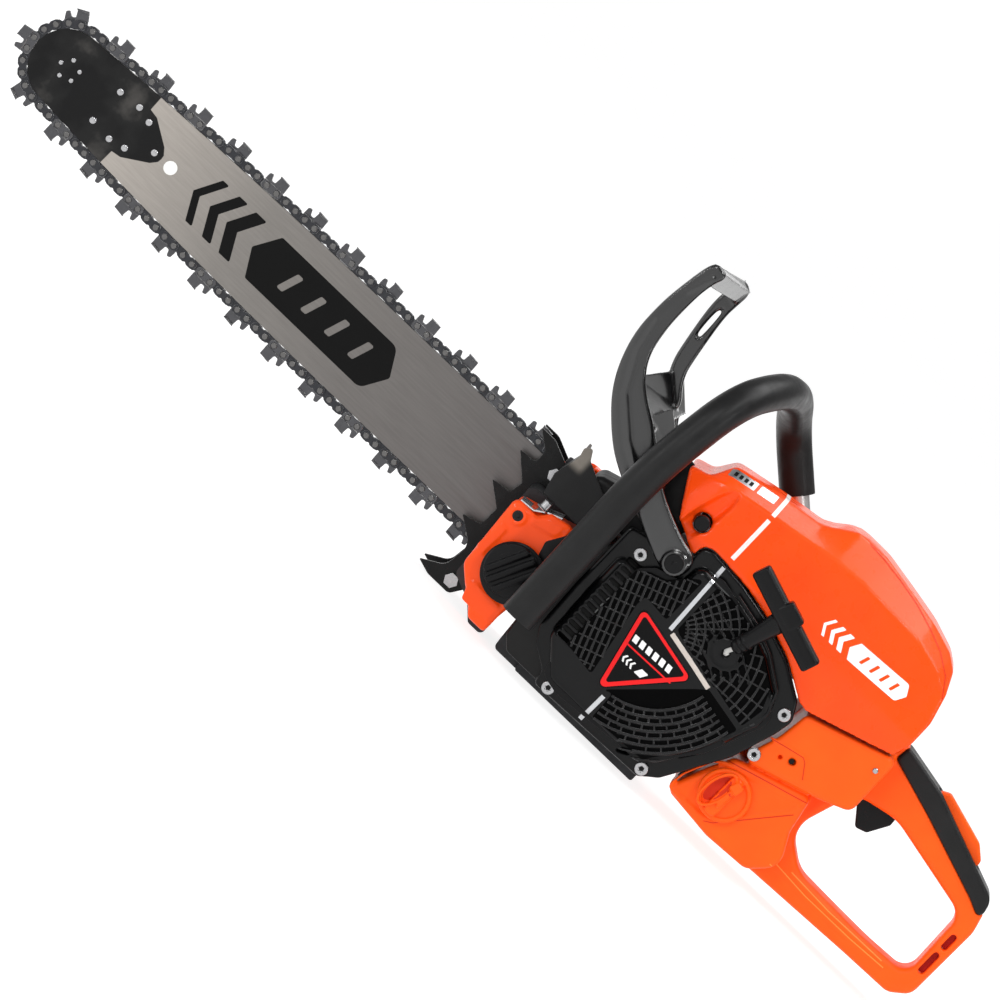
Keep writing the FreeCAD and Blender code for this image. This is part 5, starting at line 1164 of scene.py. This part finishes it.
def guard_details():
    """Hand guard with flowing arms, a crease along the near one, and windows in the far one."""
    crease = [(-154, 312), (-162, 290), (-163, 262), (-158, 236), (-143, 207), (-118, 184), (-84, 163)]
    parts = [
        slab_mesh([cut_corners(GUARD_ARM)], -72.3, -65.6, 2.4),
        slab_mesh([band(crease, 3.4)], -73.2, -70, 1.2),
        slab_mesh([cut_corners(GUARD_FAR_ARM), cut_corners(GUARD_WINDOW, 2)], 24, 34, 1.5),
        slab_mesh([cut_corners(GUARD_RIGHT_ARM)], 52, 59, 2),
        loft_mesh([(-161, 319), (-149, 318.5), (-152.5, 304), (-166, 302)], -67,
                  [(-137, 320), (-127.5, 316), (-129, 303), (-141.5, 306)], 30),
        loft_mesh([(-146, 222), (-109, 203), (-112, 196), (-150, 214)], -66,
                  [(-124, 240), (-100, 217), (-105, 210), (-129, 233)], 56),
        loft_mesh([(-118, 208), (-74, 174), (-77, 169), (-121, 203)], -66,
                  [(-110, 219), (-76, 191), (-79, 187), (-113, 215)], -18),
        slab_mesh([circle_loop(-33, 143, 9.5)], -73.8, -62.4, 1),
    ]
    shell = melted("hand_guard_shell", parts, 1, 6, "black_gloss", "guard", "guard_gloss")
    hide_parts("hand_guard")


# ---------------- front of the engine


BOSS = (-137.8, 88)


def front_details():
    """Pads, boss, gasket and bolt on the oil tank's housing."""
    face = span("crankcase_left")[0][1]
    pads = [
        [(-145, 52), (-137.5, 49), (-136.6, 75), (-143.4, 75.5)],
        [(-128.5, 90.5), (-108, 96), (-106, 104.5), (-120.5, 101.5), (-127, 95)],
        [(-126, 16, 3), (-101.5, 16, 3), (-101.5, 31, 3), (-131.5, 31.5, 3)],
    ]
    extras = [slab_mesh([rounded_loop(pad, 1.5)], face - 1.1, face + 2.5) for pad in pads]
    extras.append(ring_mesh(side_view(*BOSS, face + 0.3), Vector((0, 1, 0)), 5.6, 1.6))
    softened("crankcase_left", 1.1, 4, extras=extras)
    plug = [peg_mesh(*BOSS, face - 0.7, face + 2, 4.6), peg_mesh(*BOSS, face - 1.6, face, 1.8)]
    joined("boss_plug", plug, "black_rubber")
    bolt = [rod_mesh((-128, -49, 103), (-128, -49, 104.4), 5.6),
            rod_mesh((-128, -49, 104.2), (-128, -49, 110.5), 4, 3.7)]
    joined("shield_bolt", bolt, "screw_steel")
    recess = rounded_loop([(-110.5, 88.5, 3), (-101, 104.5, 3), (-91, 102, 1), (-91, 78, 1), (-106, 72, 6)])
    slab("case_recess", [recess], face - 0.5, face + 1.5, "black_plastic", bevel=0.3)
    wall = rounded_loop([(-75.2, 157.1), (-76.9, 202.8), (-61.1, 199.9), (-53.7, 182.8), (-40.7, 165.1),
                         (-51.4, 139.6)], 3)
    slab("intake_wall", [wall], -36, -32, "black_plastic", bevel=0.5)
    gasket = band([(-144.1, 97.6), (-132.3, 98.4), (-124, 104), (-113, 108.4)], 1.1)
    slab("shield_gasket", [gasket], -52, -20, "screw_steel", paint="foil")


def clutch_details():
    """Ribs and a raised rim on the cover of the clutch side."""
    face = depth_at(surface_of(NODES["clutch_cover"]), -70, 100, 300)
    top = min(face + 1.3, span("clutch_cover")[1][1] - 0.1)
    bands = [band([(-128, 30 + 7 * k), (-62, 30 + 7 * k)], 2.2) for k in range(3)]
    bands += [band(points, 2) for points in (
        [(-130, 112), (-118, 121), (-60, 121)], arc_points(0, BAR_AXIS_MM, 52, 110, 235, 30))]
    softened("clutch_cover", 1.2, 4, extras=[slab_mesh([loop], face - 2, top) for loop in bands])


SOCKETS = [(-54.6, 130), (100, 118.4), (53, 18.6), (-36, 14.2), (104.6, 82)]


def socket_details():
    """Black discs in the heads of the cover's screws: painted shade in their sockets."""
    surface = surface_of(NODES["body_screws"])
    depths = [(x, z, depth_at(surface, x + 1.4, z)) for x, z in SOCKETS]
    sockets = [peg_mesh(x, z, near + 1, near - 0.12, 1.9, rim=0.1) for x, z, near in depths if near]
    joined("screw_socket_shade", sockets, "black_plastic")


# ---------------- stage and lights


def make_stage():
    """Round pale floor whose edge curves up into a low wall far from the saw."""
    reach, bend = 30000, 3000
    arc = [math.radians(step * 10) for step in range(1, 10)]
    profile = [(0, 0), (500, 0), (reach, 0)]
    profile += [(reach + bend * math.sin(turn), bend - bend * math.cos(turn)) for turn in arc]
    profile.append((reach + bend, 8000))
    floor = linked("floor", turned(profile, Vector((0, 0, 1)), Vector(), 64, angle=180))
    paint = Paint("floor_paint", (0.35, 0.35, 0.35), 0.85)
    paint.shades(paint.noise(3, 2), 0.99, 1.01)
    paint.uniform("Specular IOR Level", 0.1)
    paint.uniform("Emission Color", (1, 1, 1, 1))
    paint.uniform("Emission Strength", 0.85)
    dress(floor, paint.material)


def add_light(name, place, aim, width, height, power):
    """White rectangle of light that faces a place."""
    data = bpy.data.lights.new(name, "AREA")
    data.shape = "RECTANGLE"
    data.size = width
    data.size_y = height
    data.energy = power
    lamp = linked(name, data)
    lamp.location = place
    lamp.rotation_euler = (Vector(aim) - Vector(place)).to_track_quat("-Z", "Y").to_euler()


def make_lights():
    """Even white world, one large light above and four smaller ones."""
    world = bpy.data.worlds.new("studio")
    SCENE.world = world
    world.use_nodes = True
    sky = world.node_tree.nodes["Background"].inputs
    sky["Color"].default_value = (1, 1, 1, 1)
    sky["Strength"].default_value = 0.32
    add_light("overhead", (0.3, 0.2, 2), (-0.1, 0, 0.1), 1.8, 1.2, 30)
    add_light("front", (-1, -2.6, 1.7), (-0.1, 0, 0.1), 0.7, 0.7, 19)
    add_light("side", (1.9, -1.5, 1.2), (0, 0, 0.15), 0.3, 1.2, 9)
    add_light("strip_high", (0.5, -1.6, 2), (0, -0.05, 0.12), 0.06, 1.2, 13)
    add_light("strip_front", (-1.9, -1.4, 0.8), (0, -0.05, 0.12), 0.06, 1, 7)


chain_details()
bar_details()
top_cover_details()
starter_details()
rope_details()
grip_details()
handle_details()
fuel_cap_details()
oil_cap_details()
guard_details()
front_details()
clutch_details()
socket_details()
make_stage()
make_lights()
SCENE.view_settings.view_transform = "Standard"
